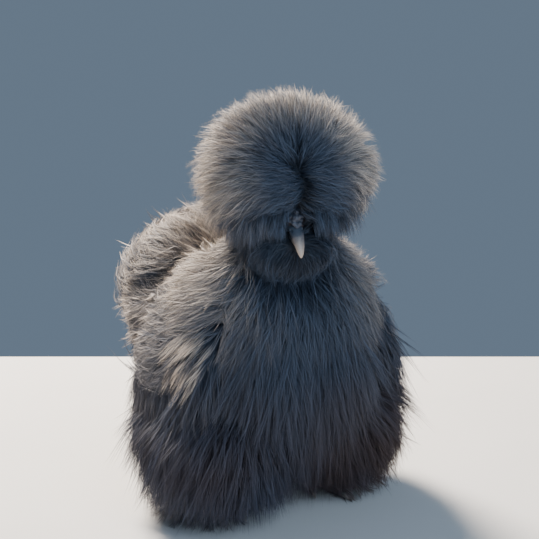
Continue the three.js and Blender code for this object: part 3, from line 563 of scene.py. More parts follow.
def woolly(way):
    """The same lie, in waves that cross it."""

    def waved(points):
        x, y, z = (points * WOOL_SCALE).T
        wave = np.stack([np.sin(1.4 * z + y), np.sin(1.2 * x + z), np.sin(1.6 * y - 0.7 * x + z)], 1)
        return way(points) + WOOL * wave

    return waved


def falling_way(points):
    return DOWN + (points[:, 2:] < 0.16) * fanned(points)


def laid(way, normals):
    return unit(way - normals * dot(way, normals))


def draws(count, spread):
    return 1 + spread * (2 * rng.random((count, 1)) - 1)


# A tuft's guide line has four points. It follows the skin along its lie, and lifts off it.
LEAN = 0.24
SINK = 0.0015


def lying_guides(points, normals, way, length, rise, ragged=1.0):
    length = length * draws(len(points), 0.18 * ragged)
    rise = rise * draws(len(points), 0.22 * ragged)
    lean = LEAN * ragged * rng.standard_normal((len(points), 1))
    line = [points - SINK * normals]
    here, out = points, normals
    for share in THIRDS[1:]:
        ahead = laid(way(here), out)
        ahead = unit(ahead + lean * np.cross(ahead, out))
        here, out, _ = hide.nearest(here + ahead * length / 3)
        line.append(here + out * rise * share * (1.5 - 0.5 * share))
    return np.stack(line, 1)


# Hanging plumage stands off, bends over and falls free of the skin, but stays off the floor.
FLUFF_CLEARANCE = 0.004
LEAST_HANG = 0.006


def hanging_guides(points, normals, length, rise, splay=0.0):
    length = length * draws(len(points), 0.2)
    rise = rise * draws(len(points), 0.2)
    aside = LEAN * rng.standard_normal((len(points), 1))
    ahead = unit(laid(falling_way(points), normals) + DOWN)
    ahead = unit(ahead + splay * normals * np.array((1, 1, 0)))
    ahead = unit(ahead + aside * np.cross(ahead, normals))
    lowest = points[:, 2:] + rise * normals[:, 2:] - FLUFF_CLEARANCE
    reach = np.minimum(length, np.maximum(LEAST_HANG, lowest) / np.maximum(0.05, -ahead[:, 2:]))
    line = [points - SINK * normals]
    for share in THIRDS[1:]:
        off = normals * rise * share * (1.7 - 0.7 * share)
        line.append(points + off + ahead * reach * share * (0.7 + 0.3 * share))
    return np.stack(line, 1)


def on_guides(guides, shares):
    """Points on each guide line at its own shares, through all four of its points."""
    lines = np.zeros((len(guides), shares.shape[1], 3))
    for k in range(4):
        weight = np.ones_like(shares)
        for other in THIRDS[np.arange(4) != k]:
            weight *= (shares - other) / (THIRDS[k] - other)
        lines += weight[:, :, None] * guides[:, None, k]
    return lines


# A strand's ribbon: its width at its points, the corners of its three faces, and the point
# along the strand that each of its seven vertices belongs to
RIBBON = np.array((0.8, 1, 0.75))
CORNERS = np.array((0, 1, 3, 2, 2, 3, 5, 4, 4, 5, 6))
FACE_STARTS = np.array((0, 4, 8))
ROWS = np.array((0, 0, 1, 1, 2, 2, 3))
TUFT_TWIST = 0.7  # how far ribbons are turned about their own way, in radians
PLUME_TWIST = 0.35
PATCH = 0.003  # side of the square of the skin's unwrap that a tuft's own map takes up


class Strands:
    """Thin ribbons, each along four points and drawn out to a tip, gathered for one piece."""

    def __init__(self):
        self.rows = []

    def add(self, lines, outs, width, along, bleach_and_rim_light, flat):
        count = len(lines)
        width, bleach_and_rim_light = (np.broadcast_to(values, (count,)) for values in (width, bleach_and_rim_light))
        self.rows.append((lines, outs, width, np.broadcast_to(along, (count, 4)), bleach_and_rim_light, flat))

    def add_tufts(
        self, guides, outs, flat, bleach_and_rim_light, count=6, root=0.0020, tip=0.0019, width=0.00038, ragged=0.45
    ):
        """Strands round each guide line: root and tip are the radii that they are spread over."""
        tuft = np.repeat(np.arange(len(guides)), count)
        strand = np.tile(np.arange(count), len(guides))
        guide, out = guides[tuft], outs[tuft]
        ahead = unit(guide[:, 3] - guide[:, 0])
        aside = unit(np.cross(ahead, out))
        above = np.cross(aside, ahead)

        def disc(radius):
            angle = rng.random((len(tuft), 1)) * 2 * math.pi
            reach = radius * np.sqrt(rng.random((len(tuft), 1)))
            return reach * (aside * np.cos(angle) + above * np.sin(angle))

        length = 1 - ragged * rng.random((len(tuft), 1)) ** 1.6
        steps = np.broadcast_to(STEPS, (len(tuft), 4))
        share = steps[:, :, None]
        lines = on_guides(guide, steps * length)
        lines += disc(root)[:, None] * (1 - share) + disc(tip)[:, None] * share**1.5
        lines += disc(0.6 * tip)[:, None] * (4 * share * (1 - share))
        spot = np.stack([strand / (count - 1), 0 * strand], 1) - 0.5
        shade = bleach_and_rim_light[tuft] * (1 + 0.3 * rng.standard_normal(len(tuft)))
        width = width * (0.7 + 0.6 * rng.random(len(tuft)))
        self.add(lines, out, width, steps * length, shade, flat[tuft] + PATCH * spot)

    def make(self, name, twist=TUFT_TWIST):
        columns = [np.concatenate(column) for column in zip(*self.rows)]
        lines, outs, width, along, bleach_and_rim_light, flat = columns
        count = len(lines)
        ahead = unit(np.gradient(lines, axis=1))
        across = unit(np.cross(ahead, outs[:, None]))
        above = np.cross(across, ahead)
        turn = (twist * rng.standard_normal(count))[:, None, None]
        across = across * np.cos(turn) + above * np.sin(turn)
        half = width[:, None, None] / 2 * RIBBON[None, :, None] * across[:, :3]
        edges = np.stack([lines[:, :3] - half, lines[:, :3] + half], 2).reshape(count, 6, 3)
        points = np.concatenate([edges, lines[:, 3:]], 1)
        points[:, :, 2] = np.maximum(points[:, :, 2], LEVEL_SOLE)
        mesh = bpy.data.meshes.new(name)
        mesh.vertices.add(7 * count)
        mesh.loops.add(11 * count)
        mesh.polygons.add(3 * count)
        mesh.vertices.foreach_set("co", points.ravel().astype(np.float32))
        first = np.arange(count)[:, None]
        mesh.loops.foreach_set("vertex_index", (7 * first + CORNERS).ravel().astype(np.int32))
        mesh.polygons.foreach_set("loop_start", (11 * first + FACE_STARTS).ravel().astype(np.int32))
        mesh.update(calc_edges=True)
        put(mesh, "along", along[:, ROWS].ravel())
        # how pale the tips are: real sun-bleaching and painted rim light
        put(mesh, "bleach_and_rim_light", np.repeat(bleach_and_rim_light, 7))
        put(mesh, "tone", np.repeat(rng.standard_normal(count), 7))
        spots = flat[:, None] + PATCH * (along[:, ROWS[CORNERS], None] - 0.5) * np.array((0, 1))
        layer = mesh.uv_layers.new(name="OFBake")
        layer.data.foreach_set("uv", np.clip(spots, 0, 1).ravel().astype(np.float32))
        o = bpy.data.objects.new(name, mesh)
        bpy.context.scene.collection.objects.link(o)
        mesh.polygons.foreach_set("use_smooth", np.ones(3 * count, bool))
        return o


def put(mesh, name, values):
    layer = mesh.attributes.new(name, "FLOAT", "POINT")
    layer.data.foreach_set("value", np.asarray(values, np.float32))


# How pale the tips are, from 0 to 1: partly real sun-bleaching and partly painted rim light from a sun
# above and behind.
# Most on the crest's rim, the back, the wing bows and the tail, and hardly at all on the face, the
# breast and the belly.
BLEACH_PATCH = 14  # millimetres
NO_BLEACH_OR_RIM_LIGHT = ("thigh_left", "thigh_right", "beard", "skull")


def patchy(points):
    x, y, z = (points * 1000 / BLEACH_PATCH).T
    wave = np.sin(1.3 * x + 1.7 * np.sin(0.8 * z)) + np.sin(1.1 * y + 1.9 * np.sin(0.7 * z + x))
    return 0.5 + 0.25 * wave


def bleach_and_rim_light_at(points):
    t, turn, _ = body_place(points)
    # Painted rim light: paler tips on the body's upper side, the neck's sides and the rump's high places
    upper = step_between(-0.6, 0.6, np.cos(turn))
    upper = upper + 0.4 * np.sin(turn) ** 4 * step_between(0.45, 0.3, t) * (1 - upper)
    upper = np.maximum(upper, step_between(0.085, 0.135, points[:, 2]) * (t > RUMP))
    bleach_and_rim_light = 0.03 + 0.60 * upper * step_between(-0.08, 0.10, t)
    # Painted rim light on the crest: paler tips towards its rim, darker low beside the face
    off = math.pi * from_parting(points)
    crest = 0.04 + 0.96 * step_between(0.20, 0.98, off)
    crest *= 1 - 0.35 * step_between(1.9, 2.7, off)
    low = step_between(0.038, 0.016, in_head(points)[:, 2])
    crest *= 1 - 0.95 * low * step_between(2.1, 1.2, off)
    names = np.array(REGIONS)[hide.region[hide.corners[hide.nearest(points)[2], 0]]]
    bleach_and_rim_light = np.where(names == "crest", crest, bleach_and_rim_light)
    # Painted rim light on the wings: paler tips on their upper side
    bleach_and_rim_light = np.where(np.isin(names, WINGS), 0.10 + 0.30 * upper, bleach_and_rim_light)
    bleach_and_rim_light = np.where(np.isin(names, NO_BLEACH_OR_RIM_LIGHT), 0.0, bleach_and_rim_light)
    return bleach_and_rim_light * (0.7 + 0.6 * patchy(points))


# Coat: tufts on each region


COMB_LINE = ((-0.018, 0.008), (-0.022, 0.004), (-0.028, -0.004), (-0.036, -0.008))
COMB_MARKS = np.array([HEAD @ Vector((0, y, z)) for y, z in COMB_LINE])
COMB_CLEAR = 0.0062
REACH = np.array((0.108, 0.118, 0.288))  # no tuft goes past this


def clear_of_comb(guides):
    """Which tufts keep off the comb and the beak."""
    gaps = np.linalg.norm(guides[:, 1:, None] - COMB_MARKS, axis=3)
    return gaps.min((1, 2)) > COMB_CLEAR


def coat(name, regions, tufts, way, size, keep=None, splay=0.0, fade=1.0, **spec):
    """One piece of coat. Size is length and rise of its tufts, or gives them at given points.
    Tufts with no way hang."""
    points, normals, flat = hide.roots(regions, tufts, keep)
    length, rise = (np.reshape(values, (-1, 1)) for values in (size(points) if callable(size) else size))
    if way is None:
        low = step_between(0.075, 0.03, points[:, 2:])
        guides = hanging_guides(points, normals, length, rise, splay * (1 + 1.8 * low))
    else:
        guides = lying_guides(points, normals, way, length, rise)
    clear = clear_of_comb(guides) & (np.abs(guides) < REACH).all((1, 2))
    points, normals, flat, guides = points[clear], normals[clear], flat[clear], guides[clear]
    strands = Strands()
    strands.add_tufts(guides, normals, flat, fade * bleach_and_rim_light_at(points), **spec)
    return strands.make(name)


# Two pale locks stand out between the breast and the right wing, at full bleach and painted rim light:
# root, way, tufts and spread
LOCKS = [
    ((-0.066, -0.063, 0.138), (-0.72, 0.10, -0.62), 30, 0.007),
    ((-0.070, -0.062, 0.121), (-0.45, 0.10, -0.88), 24, 0.006),
]
LOCK_LENGTH = 0.030


def make_locks():
    strands = Strands()
    for root, way, count, spread in LOCKS:
        points, normals, flat = on_skin(np.array(root) + spread * rng.standard_normal((count, 3)))
        outward = normals * np.array((0.5, 0.9, 0.5))
        guides = points[:, None] + np.array((0, 0.006, 0.010, 0.011))[:, None] * outward[:, None]
        length = LOCK_LENGTH * np.array((0, 0.25, 0.62, 1))[:, None] * draws(count, 0.2)[:, None]
        guides += length * unit(np.array(way))
        strands.add_tufts(guides, normals, flat, np.ones(count), count=12, tip=0.0022, width=0.0003)
    return strands.make("coat_locks")


def body_size(points):
    t, turn, _ = body_place(points)
    size = np.minimum(1, t / 0.45)
    low = np.maximum(0, -np.cos(turn))
    length = 0.034 + 0.012 * size - np.where(t > 0.6, 0.014 * low, 0)
    rise = 0.88 * COAT * (0.75 + 0.25 * np.minimum(1, t / 0.22))
    rise = rise * (1 + 0.4 * low * step_between(0.22, 0.06, t))
    rise = rise * (1 - 0.5 * np.sin(turn) ** 2 * step_between(0.15, 0.45, t))
    return length, rise


def from_parting(points):
    """How far round the crest from its parting, as a share of half a turn."""
    out, parting = parting_at(points)
    return np.arccos(np.clip(dot(out, parting)[:, 0], -1, 1)) / math.pi


FRONT = 0.34  # the share of half a turn from the parting that is the crest's front


def crest_size(points):
    off = np.minimum(1, from_parting(points) / 0.30)
    cheek = cheek_share(points)
    length = 0.013 + 0.005 * off + 0.010 * cheek
    rise = CREST_COAT * (0.40 + 0.56 * off + 0.20 * cheek)
    return length, rise


def front_crest(points):
    return from_parting(points) < FRONT


def back_crest(points):
    return from_parting(points) >= FRONT


def low_crest(points):
    """The crest's low rim, at the cheeks and the nape."""
    own = in_head(points)
    return (own[:, 2] < 0.022) & ((np.abs(own[:, 0]) > 0.009) | (own[:, 1] > 0.012))


def rim_size(points):
    own = in_head(points)
    nape = step_between(0.0, 0.022, own[:, 1])
    beside_beak = step_between(0.026, 0.010, np.abs(own[:, 0])) * (1 - nape)
    length = 0.019 + 0.019 * nape - 0.010 * beside_beak
    return length, 0.019 - 0.005 * nape - 0.004 * beside_beak


BACK_HALF = math.radians(78)
CURTAIN = math.radians(98)
SPLAY = {"left": -0.05, "right": 0.13}  # how far the thigh's plumage hangs outwards
FINE = {"count": 8, "root": 0.0026, "tip": 0.0024, "width": 0.00028}


def within(first, last, least=0.0, most=4.0):
    """The body's places between two shares of the spine and two turns from the back."""

    def keep(points):
        t, turn, _ = body_place(points)
        turn = np.abs(turn)
        return (t >= first) & (t < last) & (turn >= least) & (turn < most)

    return keep


def curtain(points):
    """The low places that the hanging plumage of breast and belly stands on."""
    t, turn, _ = body_place(points)
    return (t >= 0.14) & (t < 0.72) & (np.abs(turn) >= CURTAIN - 0.35 * (t > 0.4))


def curtain_size(points):
    beside = step_between(math.radians(140), math.radians(105), np.abs(body_place(points)[1]))
    return 0.082 - 0.022 * beside, 0.018 - 0.010 * beside


def make_coat():
    neck = within(0, NECK_END)
    back_of_body = within(NECK_END, RUMP, 0, BACK_HALF)
    flank = within(NECK_END, RUMP, BACK_HALF)
    rump = within(RUMP, 2)
    beard = {"ragged": 0.86, "tip": 0.0034, "width": 0.00028}
    face = {"root": 0.0014, "tip": 0.0014, "width": 0.00024}
    pieces = [
        coat("coat_crest_front", ["crest"], 4600, crest_way, crest_size, front_crest, **FINE),
        coat("coat_crest_back", ["crest"], 3200, crest_way, crest_size, back_crest, **FINE),
        coat("coat_crest_rim", ["crest"], 1400, None, rim_size, low_crest, splay=0.30, **FINE),
        coat("coat_beard", ["beard"], 2600, beard_way, (0.046, 0.34 * BEARD_COAT), **beard),
        coat("coat_face", ["skull"], 900, face_way, (0.010, 0.0045), **face),
        coat("coat_neck", ["body"], 6000, body_way, body_size, neck, width=0.00034),
        coat("coat_back", ["body"], 4200, woolly(body_way), body_size, back_of_body),
        coat("coat_flank", ["body"], 3000, body_way, body_size, flank),
        coat("coat_belly", ["body", *WINGS], 6300, None, curtain_size, curtain, fade=0.3, width=0.00033),
        make_locks(),
        coat("coat_rump", ["body"], 2900, rump_way, (0.030, 0.019), rump),
    ]
    wing = {"tip": 0.0024, "width": 0.00032}
    for side in ("left", "right"):
        pieces += [
            coat("coat_wing_" + side, ["wing_" + side], 2400, woolly(body_way), (0.034, 0.009), **wing),
            coat("coat_thigh_" + side, ["thigh_" + side], 2700, None, (0.050, 0.010), splay=SPLAY[side]),
            coat("coat_shank_" + side, ["shank_" + side], 200, None, (0.022, 0.014)),
        ]
    return pieces


# Plumes: a shaft with loose barbs along both sides, silky and ragged
BARBS = 44  # along each side of a shaft
BARB_WIDTH = 0.0006
SHAFT_WIDTH = 0.0011


def add_plumes(strands, guides, outs, flat, bleach_and_rim_light, half_width, barbs, loose=0.35):
    plume = np.repeat(np.arange(len(guides)), 2 * barbs)
    order = np.tile(np.repeat(np.arange(barbs), 2), len(guides))
    side = np.tile((-1.0, 1.0), len(guides) * barbs)[:, None]
    share = (0.04 + 0.96 * (order + 0.8 * rng.random(len(plume))) / barbs)[:, None]
    guide, out = guides[plume], outs[plume]
    root = on_guides(guide, share)[:, 0]
    ahead = unit(on_guides(guide, share + 0.02)[:, 0] - on_guides(guide, share - 0.02)[:, 0])
    across = unit(np.cross(ahead, out)) * side
    angle = np.radians(58 - 38 * share) * draws(len(plume), 0.25)
    way = ahead * np.cos(angle) + across * np.sin(angle)
    narrowing = np.minimum(1, 0.35 + 3 * share) * np.sqrt(np.maximum(0.12, 1 - share**3))
    length = half_width * narrowing / np.sin(angle) * draws(len(plume), loose)
    steps = STEPS[None, :, None]
    wander = 0.12 * length * rng.standard_normal((len(plume), 3))
    fold = 0.25 * length * np.abs(rng.standard_normal((len(plume), 1)))
    lines = root[:, None] + (length * way)[:, None] * steps
    lines += ((0.45 * length * (ahead - way)) + wander - fold * out)[:, None] * steps**2
    along = 0.3 + 0.7 * np.minimum(1, 0.5 * share + 0.7 * STEPS[None])
    spot = flat[plume] + PATCH * (share * np.array((0.5, 0)) - 0.25)
    shade = bleach_and_rim_light[plume] * (1 + 0.25 * rng.standard_normal(len(plume)))
    strands.add(lines, out, BARB_WIDTH, along, shade, spot)
    shafts = on_guides(guides, np.broadcast_to(STEPS, (len(guides), 4)))
    strands.add(shafts, outs, SHAFT_WIDTH, 0.3 + 0.4 * STEPS, 0.5 * bleach_and_rim_light, flat)


# Tiers over the wing: t and turn of the first and last root, count, length, rise, half width
WING_TIERS = [
    ((0.56, 108), (0.65, 52), 10, 0.050, 0.008, 0.011),
    ((0.50, 104), (0.59, 46), 10, 0.046, 0.010, 0.010),
    ((0.44, 98), (0.53, 44), 9, 0.036, 0.010, 0.009),
]


def make_wing_plumes(name, side):
    strands = Strands()
    for start, end, count, length, rise, half_width in WING_TIERS:
        share = np.linspace(0, 1, count)
        t = start[0] + (end[0] - start[0]) * share
        turn = side * np.radians(start[1] + (end[1] - start[1]) * share)
        points, normals, flat = on_skin(body_point(t, turn))
        guides = lying_guides(points, normals, body_way, length, rise, ragged=0.4)
        add_plumes(strands, guides, normals, flat, bleach_and_rim_light_at(points), half_width, BARBS)
    return strands.make(name, twist=PLUME_TWIST)


# Tail tiers: count, root place, spread of the fan, width of the row, length, raise
TAIL_TIERS = [
    (10, (0, 0.089, 0.120), 2.0, 0.058, 0.026, -1.1),
    (11, (0, 0.087, 0.132), 2.2, 0.064, 0.027, -0.55),
    (11, (0, 0.084, 0.146), 2.0, 0.060, 0.031, -0.15),
    (10, (0, 0.079, 0.154), 1.7, 0.052, 0.031, 0.0),
    (9, (0, 0.072, 0.157), 1.4, 0.046, 0.031, 0.06),
]
# tail tips' paleness: real sun-bleaching and painted rim light
TAIL_BLEACH_AND_RIM_LIGHT = 0.42
TAIL_PLUME_HALF = 0.012
TAIL_DROOP = 0.028  # how far a row's outer roots stand below its middle, by the share squared
TAIL_CURL = 0.20


def make_tail_plumes():
    strands = Strands()
    for count, start, spread, wide, length, raised in TAIL_TIERS:
        share = np.linspace(-0.5, 0.5, count)[:, None]
        axis, over = tilted(TAIL_PITCH + raised + 0.16 * rng.standard_normal((count, 1)))
        fan = 0.5 * spread * share
        ahead = axis * np.cos(fan) + SIDEWAYS * np.sin(fan)
        root = np.array(start) + np.array(SHIFT) + share * wide * SIDEWAYS
        root = root + TAIL_DROOP * share**2 * DOWN + 0.003 * rng.standard_normal((count, 3))
        own = length * draws(count, 0.16)
        steps = THIRDS[None, :, None]
        guides = root[:, None] + (own * ahead)[:, None] * (steps - 0.1)
        guides = guides - (TAIL_CURL * own * over)[:, None] * steps**2
        outs = unit(over + 0.8 * share * SIDEWAYS)
        bleach_and_rim_light = TAIL_BLEACH_AND_RIM_LIGHT * draws(count, 0.2)[:, 0]
        add_plumes(strands, guides, outs, on_skin(root)[2], bleach_and_rim_light, TAIL_PLUME_HALF, BARBS, loose=0.5)
    return strands.make("plumes_tail", twist=PLUME_TWIST)


FOOT_PLUMES = 10
FOOT_PLUME_LENGTH = 0.045
FOOT_PLUME_HALF = 0.008
FOOT_BARBS = 34
# foot plumes' share of the tips' paleness, which mixes sun-bleaching and painted rim light
FOOT_BLEACH_AND_RIM_LIGHT = 0.12


def make_foot_plumes(name, side):
    share = np.linspace(0, 1, FOOT_PLUMES)[:, None]
    turn = np.radians(8 + 120 * share)
    ahead = np.concatenate([side * np.sin(turn), -np.cos(turn), 0 * turn], 1)
    tier = (np.arange(FOOT_PLUMES) % 2)[:, None]
    length = FOOT_PLUME_LENGTH * draws(FOOT_PLUMES, 0.1) * (1 - 0.2 * np.abs(share - 0.5))
    root = leg_point(side, *ANKLE[:2], 0) + 0.002 * ahead + UP * (0.009 + 0.003 * tier)
    steps = THIRDS[None, :, None]
    height = (0.006 + 0.005 * tier)[:, None] * steps - (0.013 + 0.006 * tier)[:, None] * steps**2
    guides = root[:, None] + (length * ahead)[:, None] * steps + height * UP
    outs = np.broadcast_to(UP, root.shape)
    strands = Strands()
    bleach_and_rim_light = np.full(FOOT_PLUMES, FOOT_BLEACH_AND_RIM_LIGHT)
    add_plumes(strands, guides, outs, on_skin(root)[2], bleach_and_rim_light, FOOT_PLUME_HALF, FOOT_BARBS)
    return strands.make(name, twist=PLUME_TWIST)


def make_plumes():
    pieces = [make_tail_plumes()]
    for name, side in SIDES:
        pieces.append(make_wing_plumes("plumes_wing_" + name, side))
        pieces.append(make_foot_plumes("plumes_foot_" + name, side))
    return pieces


# Materials: each helper below makes a node and gives it as a (node, output) pair, which is what
# other nodes' inputs are linked to


def shader(name, **settings):
    material = bpy.data.materials.new(name)
    material.use_nodes = True
    principled = material.node_tree.nodes["Principled BSDF"]
    for key, value in settings.items():
        principled.inputs[key.replace("_", " ").title().replace("Ior", "IOR")].default_value = value
    return material, material.node_tree, principled


def connect(tree, target, inputs):
    """Each input gets its value, or a link from its (node, output) pair."""
    for key, value in inputs.items():
        if isinstance(value, tuple) and isinstance(value[0], bpy.types.Node):
            tree.links.new(value[0].outputs[value[1]], target.inputs[key])
        else:
            target.inputs[key].default_value = value


def node(tree, kind, output, inputs=None, **settings):
    made = tree.nodes.new("ShaderNode" + kind)
    for key, value in settings.items():
        setattr(made, key, value)
    connect(tree, made, inputs or {})
    return made, output


def attribute(tree, name):
    return node(tree, "Attribute", "Fac", attribute_name=name)


def noise(tree, scale, detail=3.0, **inputs):
    place = node(tree, "TexCoord", "Object")
    return node(tree, "TexNoise", "Fac", {"Vector": place, "Scale": scale, "Detail": detail, **inputs})


def cells(tree, scale):
    place = node(tree, "TexCoord", "Object")
    return node(tree, "TexVoronoi", "Distance", {"Vector": place, "Scale": scale})


def product(tree, first, second, **settings):
    return node(tree, "Math", 0, {0: first, 1: second}, operation="MULTIPLY", **settings)


def ranged(tree, value, low, high, to_low=0.0, to_high=1.0, kind="LINEAR"):
    ends = {"From Min": low, "From Max": high, "To Min": to_low, "To Max": to_high}
    return node(tree, "MapRange", "Result", {"Value": value, **ends}, interpolation_type=kind)


def mixed(tree, share, first, second):
    return node(tree, "Mix", 2, {0: share, 6: first, 7: second}, data_type="RGBA")


def finish_shader(tree, principled, colour, height, strength, distance):
    """The material's colour and its bump."""
    bump = node(tree, "Bump", "Normal", {"Height": height, "Strength": strength, "Distance": distance})
    connect(tree, principled, {"Base Color": colour, "Normal": bump})


ROOT_DARK = (0.012, 0.017, 0.027, 1)
SLATE = (0.045, 0.064, 0.101, 1)
RUSTY = (0.058, 0.038, 0.037, 1)
# the tips' pale colour: real sun-bleaching and painted rim light
BLEACHED_AND_RIM_LIT = (0.72, 0.60, 0.48, 1)
HIDE_DARK = (0.012, 0.010, 0.015, 1)
HIDE_PALE = (0.050, 0.036, 0.045, 1)


def plumage_group():
    """Colour of the plumage from how far along a strand it is, how pale its tip is from real
    sun-bleaching and painted rim light, and its tone.
    """
    group = bpy.data.node_groups.new("Plumage colour", "ShaderNodeTree")
    for name in ("Along", "Bleach_And_Rim_Light", "Tone", "Brown"):
        group.interface.new_socket(name, in_out="INPUT", socket_type="NodeSocketFloat")
    group.interface.new_socket("Color", in_out="OUTPUT", socket_type="NodeSocketColor")
    start, end = group.nodes.new("NodeGroupInput"), group.nodes.new("NodeGroupOutput")
    rise = ranged(group, (start, "Along"), 0.0, 0.75, kind="SMOOTHSTEP")
    tip = ranged(group, (start, "Along"), 0.35, 1.0, kind="SMOOTHSTEP")
    ground = mixed(group, rise, ROOT_DARK, SLATE)
    browned = mixed(group, (start, "Brown"), ground, RUSTY)
    tip_bleach_and_rim_light = product(group, tip, (start, "Bleach_And_Rim_Light"))
    # pale tips: real sun-bleaching and painted rim light
    warm = mixed(group, tip_bleach_and_rim_light, browned, BLEACHED_AND_RIM_LIT)
    value = ranged(group, (start, "Tone"), -2.0, 2.0, 0.55, 1.45)
    toned = node(group, "HueSaturation", "Color", {"Value": value, "Color": warm})
    connect(group, end, {"Color": toned})
    return group


def silky_plumage():
    """The plumage's colour, browner low on the bird and towards her left."""
    material, tree, principled = shader("silky plumage", roughness=0.55, specular_ior_level=0.25)
    axes, _ = node(tree, "SeparateXYZ", 0, {0: node(tree, "TexCoord", "Object")})
    low = ranged(tree, (axes, "Z"), 0.125, 0.045, 0.0, 1.5)
    aside = ranged(tree, (axes, "X"), -0.05, 0.04, 0.6, 1.1)
    brown = product(tree, product(tree, low, aside), noise(tree, 18.0, 2.0), use_clamp=True)
    # the tips' paleness carries real sun-bleaching and painted rim light
    own = {name.title(): attribute(tree, name) for name in ("along", "bleach_and_rim_light", "tone")}
    colour = node(tree, "Group", "Color", {"Brown": brown, **own}, node_tree=plumage_group())
    connect(tree, principled, {"Base Color": colour})
    return material


def close_down():
    """The skin: dark down where it is feathered, mulberry hide where it is bare."""
    material, tree, principled = shader("skin and close down", roughness=0.75)
    bare_hide = mixed(tree, noise(tree, 700.0), HIDE_DARK, HIDE_PALE)
    both = mixed(tree, attribute(tree, "bare"), ROOT_DARK, bare_hide)
    finish_shader(tree, principled, both, cells(tree, 420.0), 0.5, 0.0006)
    return material


def horn(name, dark, pale, start, end, roughness):
    """Horn that pales along the piece's own attribute, with fine streaks."""
    material, tree, principled = shader(name, roughness=roughness)
    streaks = noise(tree, 320.0, Distortion=0.6)
    shifted = product(tree, streaks, 0.35)
    summed = node(tree, "Math", 0, {0: attribute(tree, "along"), 1: shifted}, operation="ADD")
    colour = mixed(tree, ranged(tree, summed, start, end, kind="SMOOTHSTEP"), dark, pale)
    finish_shader(tree, principled, colour, streaks, 0.25, 0.0003)
    return material


def flesh(name, dark, pale, scale, roughness):
    """Bare flesh with small papillae."""
    material, tree, principled = shader(name, roughness=roughness)
    colour = mixed(tree, noise(tree, 0.3 * scale), dark, pale)
    finish_shader(tree, principled, colour, cells(tree, scale), 0.6, 0.0005)
    return material


# The eye's colours outwards from its gaze, in radians: pupil, iris and the white's dark rim
EYE_RINGS = [
    (0.36, (0.002, 0.002, 0.003, 1)),
    (0.42, (0.050, 0.024, 0.012, 1)),
    (0.66, (0.028, 0.014, 0.009, 1)),
    (0.74, (0.004, 0.003, 0.004, 1)),
]


def dark_eye():
    material, tree, principled = shader("dark eye", roughness=0.08, coat_weight=1.0, coat_roughness=0.03)
    ring = node(tree, "ValToRGB", "Color", {"Fac": attribute(tree, "off_gaze")})
    stops = ring[0].color_ramp.elements
    for stop, (position, colour) in zip(stops, EYE_RINGS):
        stop.position, stop.color = position, colour
    for position, colour in EYE_RINGS[2:]:
        stops.new(position).color = colour
    connect(tree, principled, {"Base Color": ring})
    return material


# Beak: two lofts that meet along the line of the mouth
BEAK_BASE = Vector((0, -0.82 * SKULL_RADII[1], -0.16 * SKULL_RADII[2]))
UPPER_BEAK_LENGTH = 0.0205
LOWER_BEAK_LENGTH = 0.0145
BEAK_HALF_WIDTH = 0.0047
BEAK_DEPTH = 0.0056
BEAK_ROOTED = 0.003
NOSTRIL_AT = (0.80 * BEAK_HALF_WIDTH, BEAK_BASE.y - 0.0065, BEAK_BASE.z + 0.0030)
NOSTRIL_RADII = (0.0012, 0.0019, 0.0007)
BEAK_RINGS = (0, 0.12, 0.26, 0.42, 0.58, 0.72, 0.84, 0.93, 0.985, 1.0)


def mouth_line(ahead):
    return BEAK_BASE.z - 0.14 * ahead - 13 * ahead * ahead


def beak_half(name, upward, length, wide, deep):
    rings = []
    for share in (-BEAK_ROOTED / length, *BEAK_RINGS):
        narrowing = math.sqrt(max(0.0006, 1 - max(0, share) ** 1.7))
        ahead = length * share
        half = deep * narrowing / 2
        height = mouth_line(ahead) + upward * (half + 0.0001)
        middle = HEAD @ Vector((0, BEAK_BASE.y - ahead, height))
        way = HEAD_TURNED @ Vector((0, -1, -0.14 - 26 * ahead))
        rings.append((middle, way, HEAD_TURNED @ Vector((1, 0, 0)), wide * narrowing, half))
    return loft(name, rings, 20)


def finish_half(o, length):
    put(o.data, "along", (BEAK_BASE.y - in_head(vertices_of(o))[:, 1]) / length)
    return smooth(o, 60)


def make_beak():
    upper = beak_half("beak_upper_horn", 1, UPPER_BEAK_LENGTH, BEAK_HALF_WIDTH, BEAK_DEPTH)
    narrower, shallower = 0.86 * BEAK_HALF_WIDTH, 0.7 * BEAK_DEPTH
    lower = beak_half("beak_lower_horn", -1, LOWER_BEAK_LENGTH, narrower, shallower)
    for side in (-1, 1):
        nostril = oval("nostril", (side * NOSTRIL_AT[0], *NOSTRIL_AT[1:]), NOSTRIL_RADII, HEAD, 12)
        add_modifier(upper, "BOOLEAN", operation="DIFFERENCE", object=nostril)
        bpy.data.objects.remove(nostril)
    return finish_half(upper, UPPER_BEAK_LENGTH), finish_half(lower, LOWER_BEAK_LENGTH)


# Comb: a small cushion of knobs over the beak's base: aside, ahead, up and size of each
COMB_KNOBS = [
    (0, 0.92, 0.52, 0.0030),
    (-0.0034, 0.80, 0.50, 0.0026),
    (0.0034, 0.82, 0.52, 0.0025),
    (-0.0018, 0.74, 0.72, 0.0024),
    (0.0020, 0.72, 0.74, 0.0025),
    (-0.0030, 0.90, 0.34, 0.0019),
    (0.0029, 0.92, 0.36, 0.0020),
    (0.0002, 0.84, 0.72, 0.0021),
    (-0.0014, 0.97, 0.44, 0.0017),
    (0.0017, 0.96, 0.60, 0.0018),
    (-0.0016, 1.02, 0.30, 0.0019),
    (0.0018, 1.04, 0.28, 0.0018),
    (0.0001, 1.07, 0.18, 0.0017),
]


def make_comb():
    knobs = []
    for aside, ahead, up, size in COMB_KNOBS:
        at = (aside, -ahead * SKULL_RADII[1], up * SKULL_RADII[2])
        knobs.append(oval("knob", at, (size, size, 0.8 * size), HEAD, 16))
    return smooth(melt(knobs, "comb_flesh", 0.00035, 2))


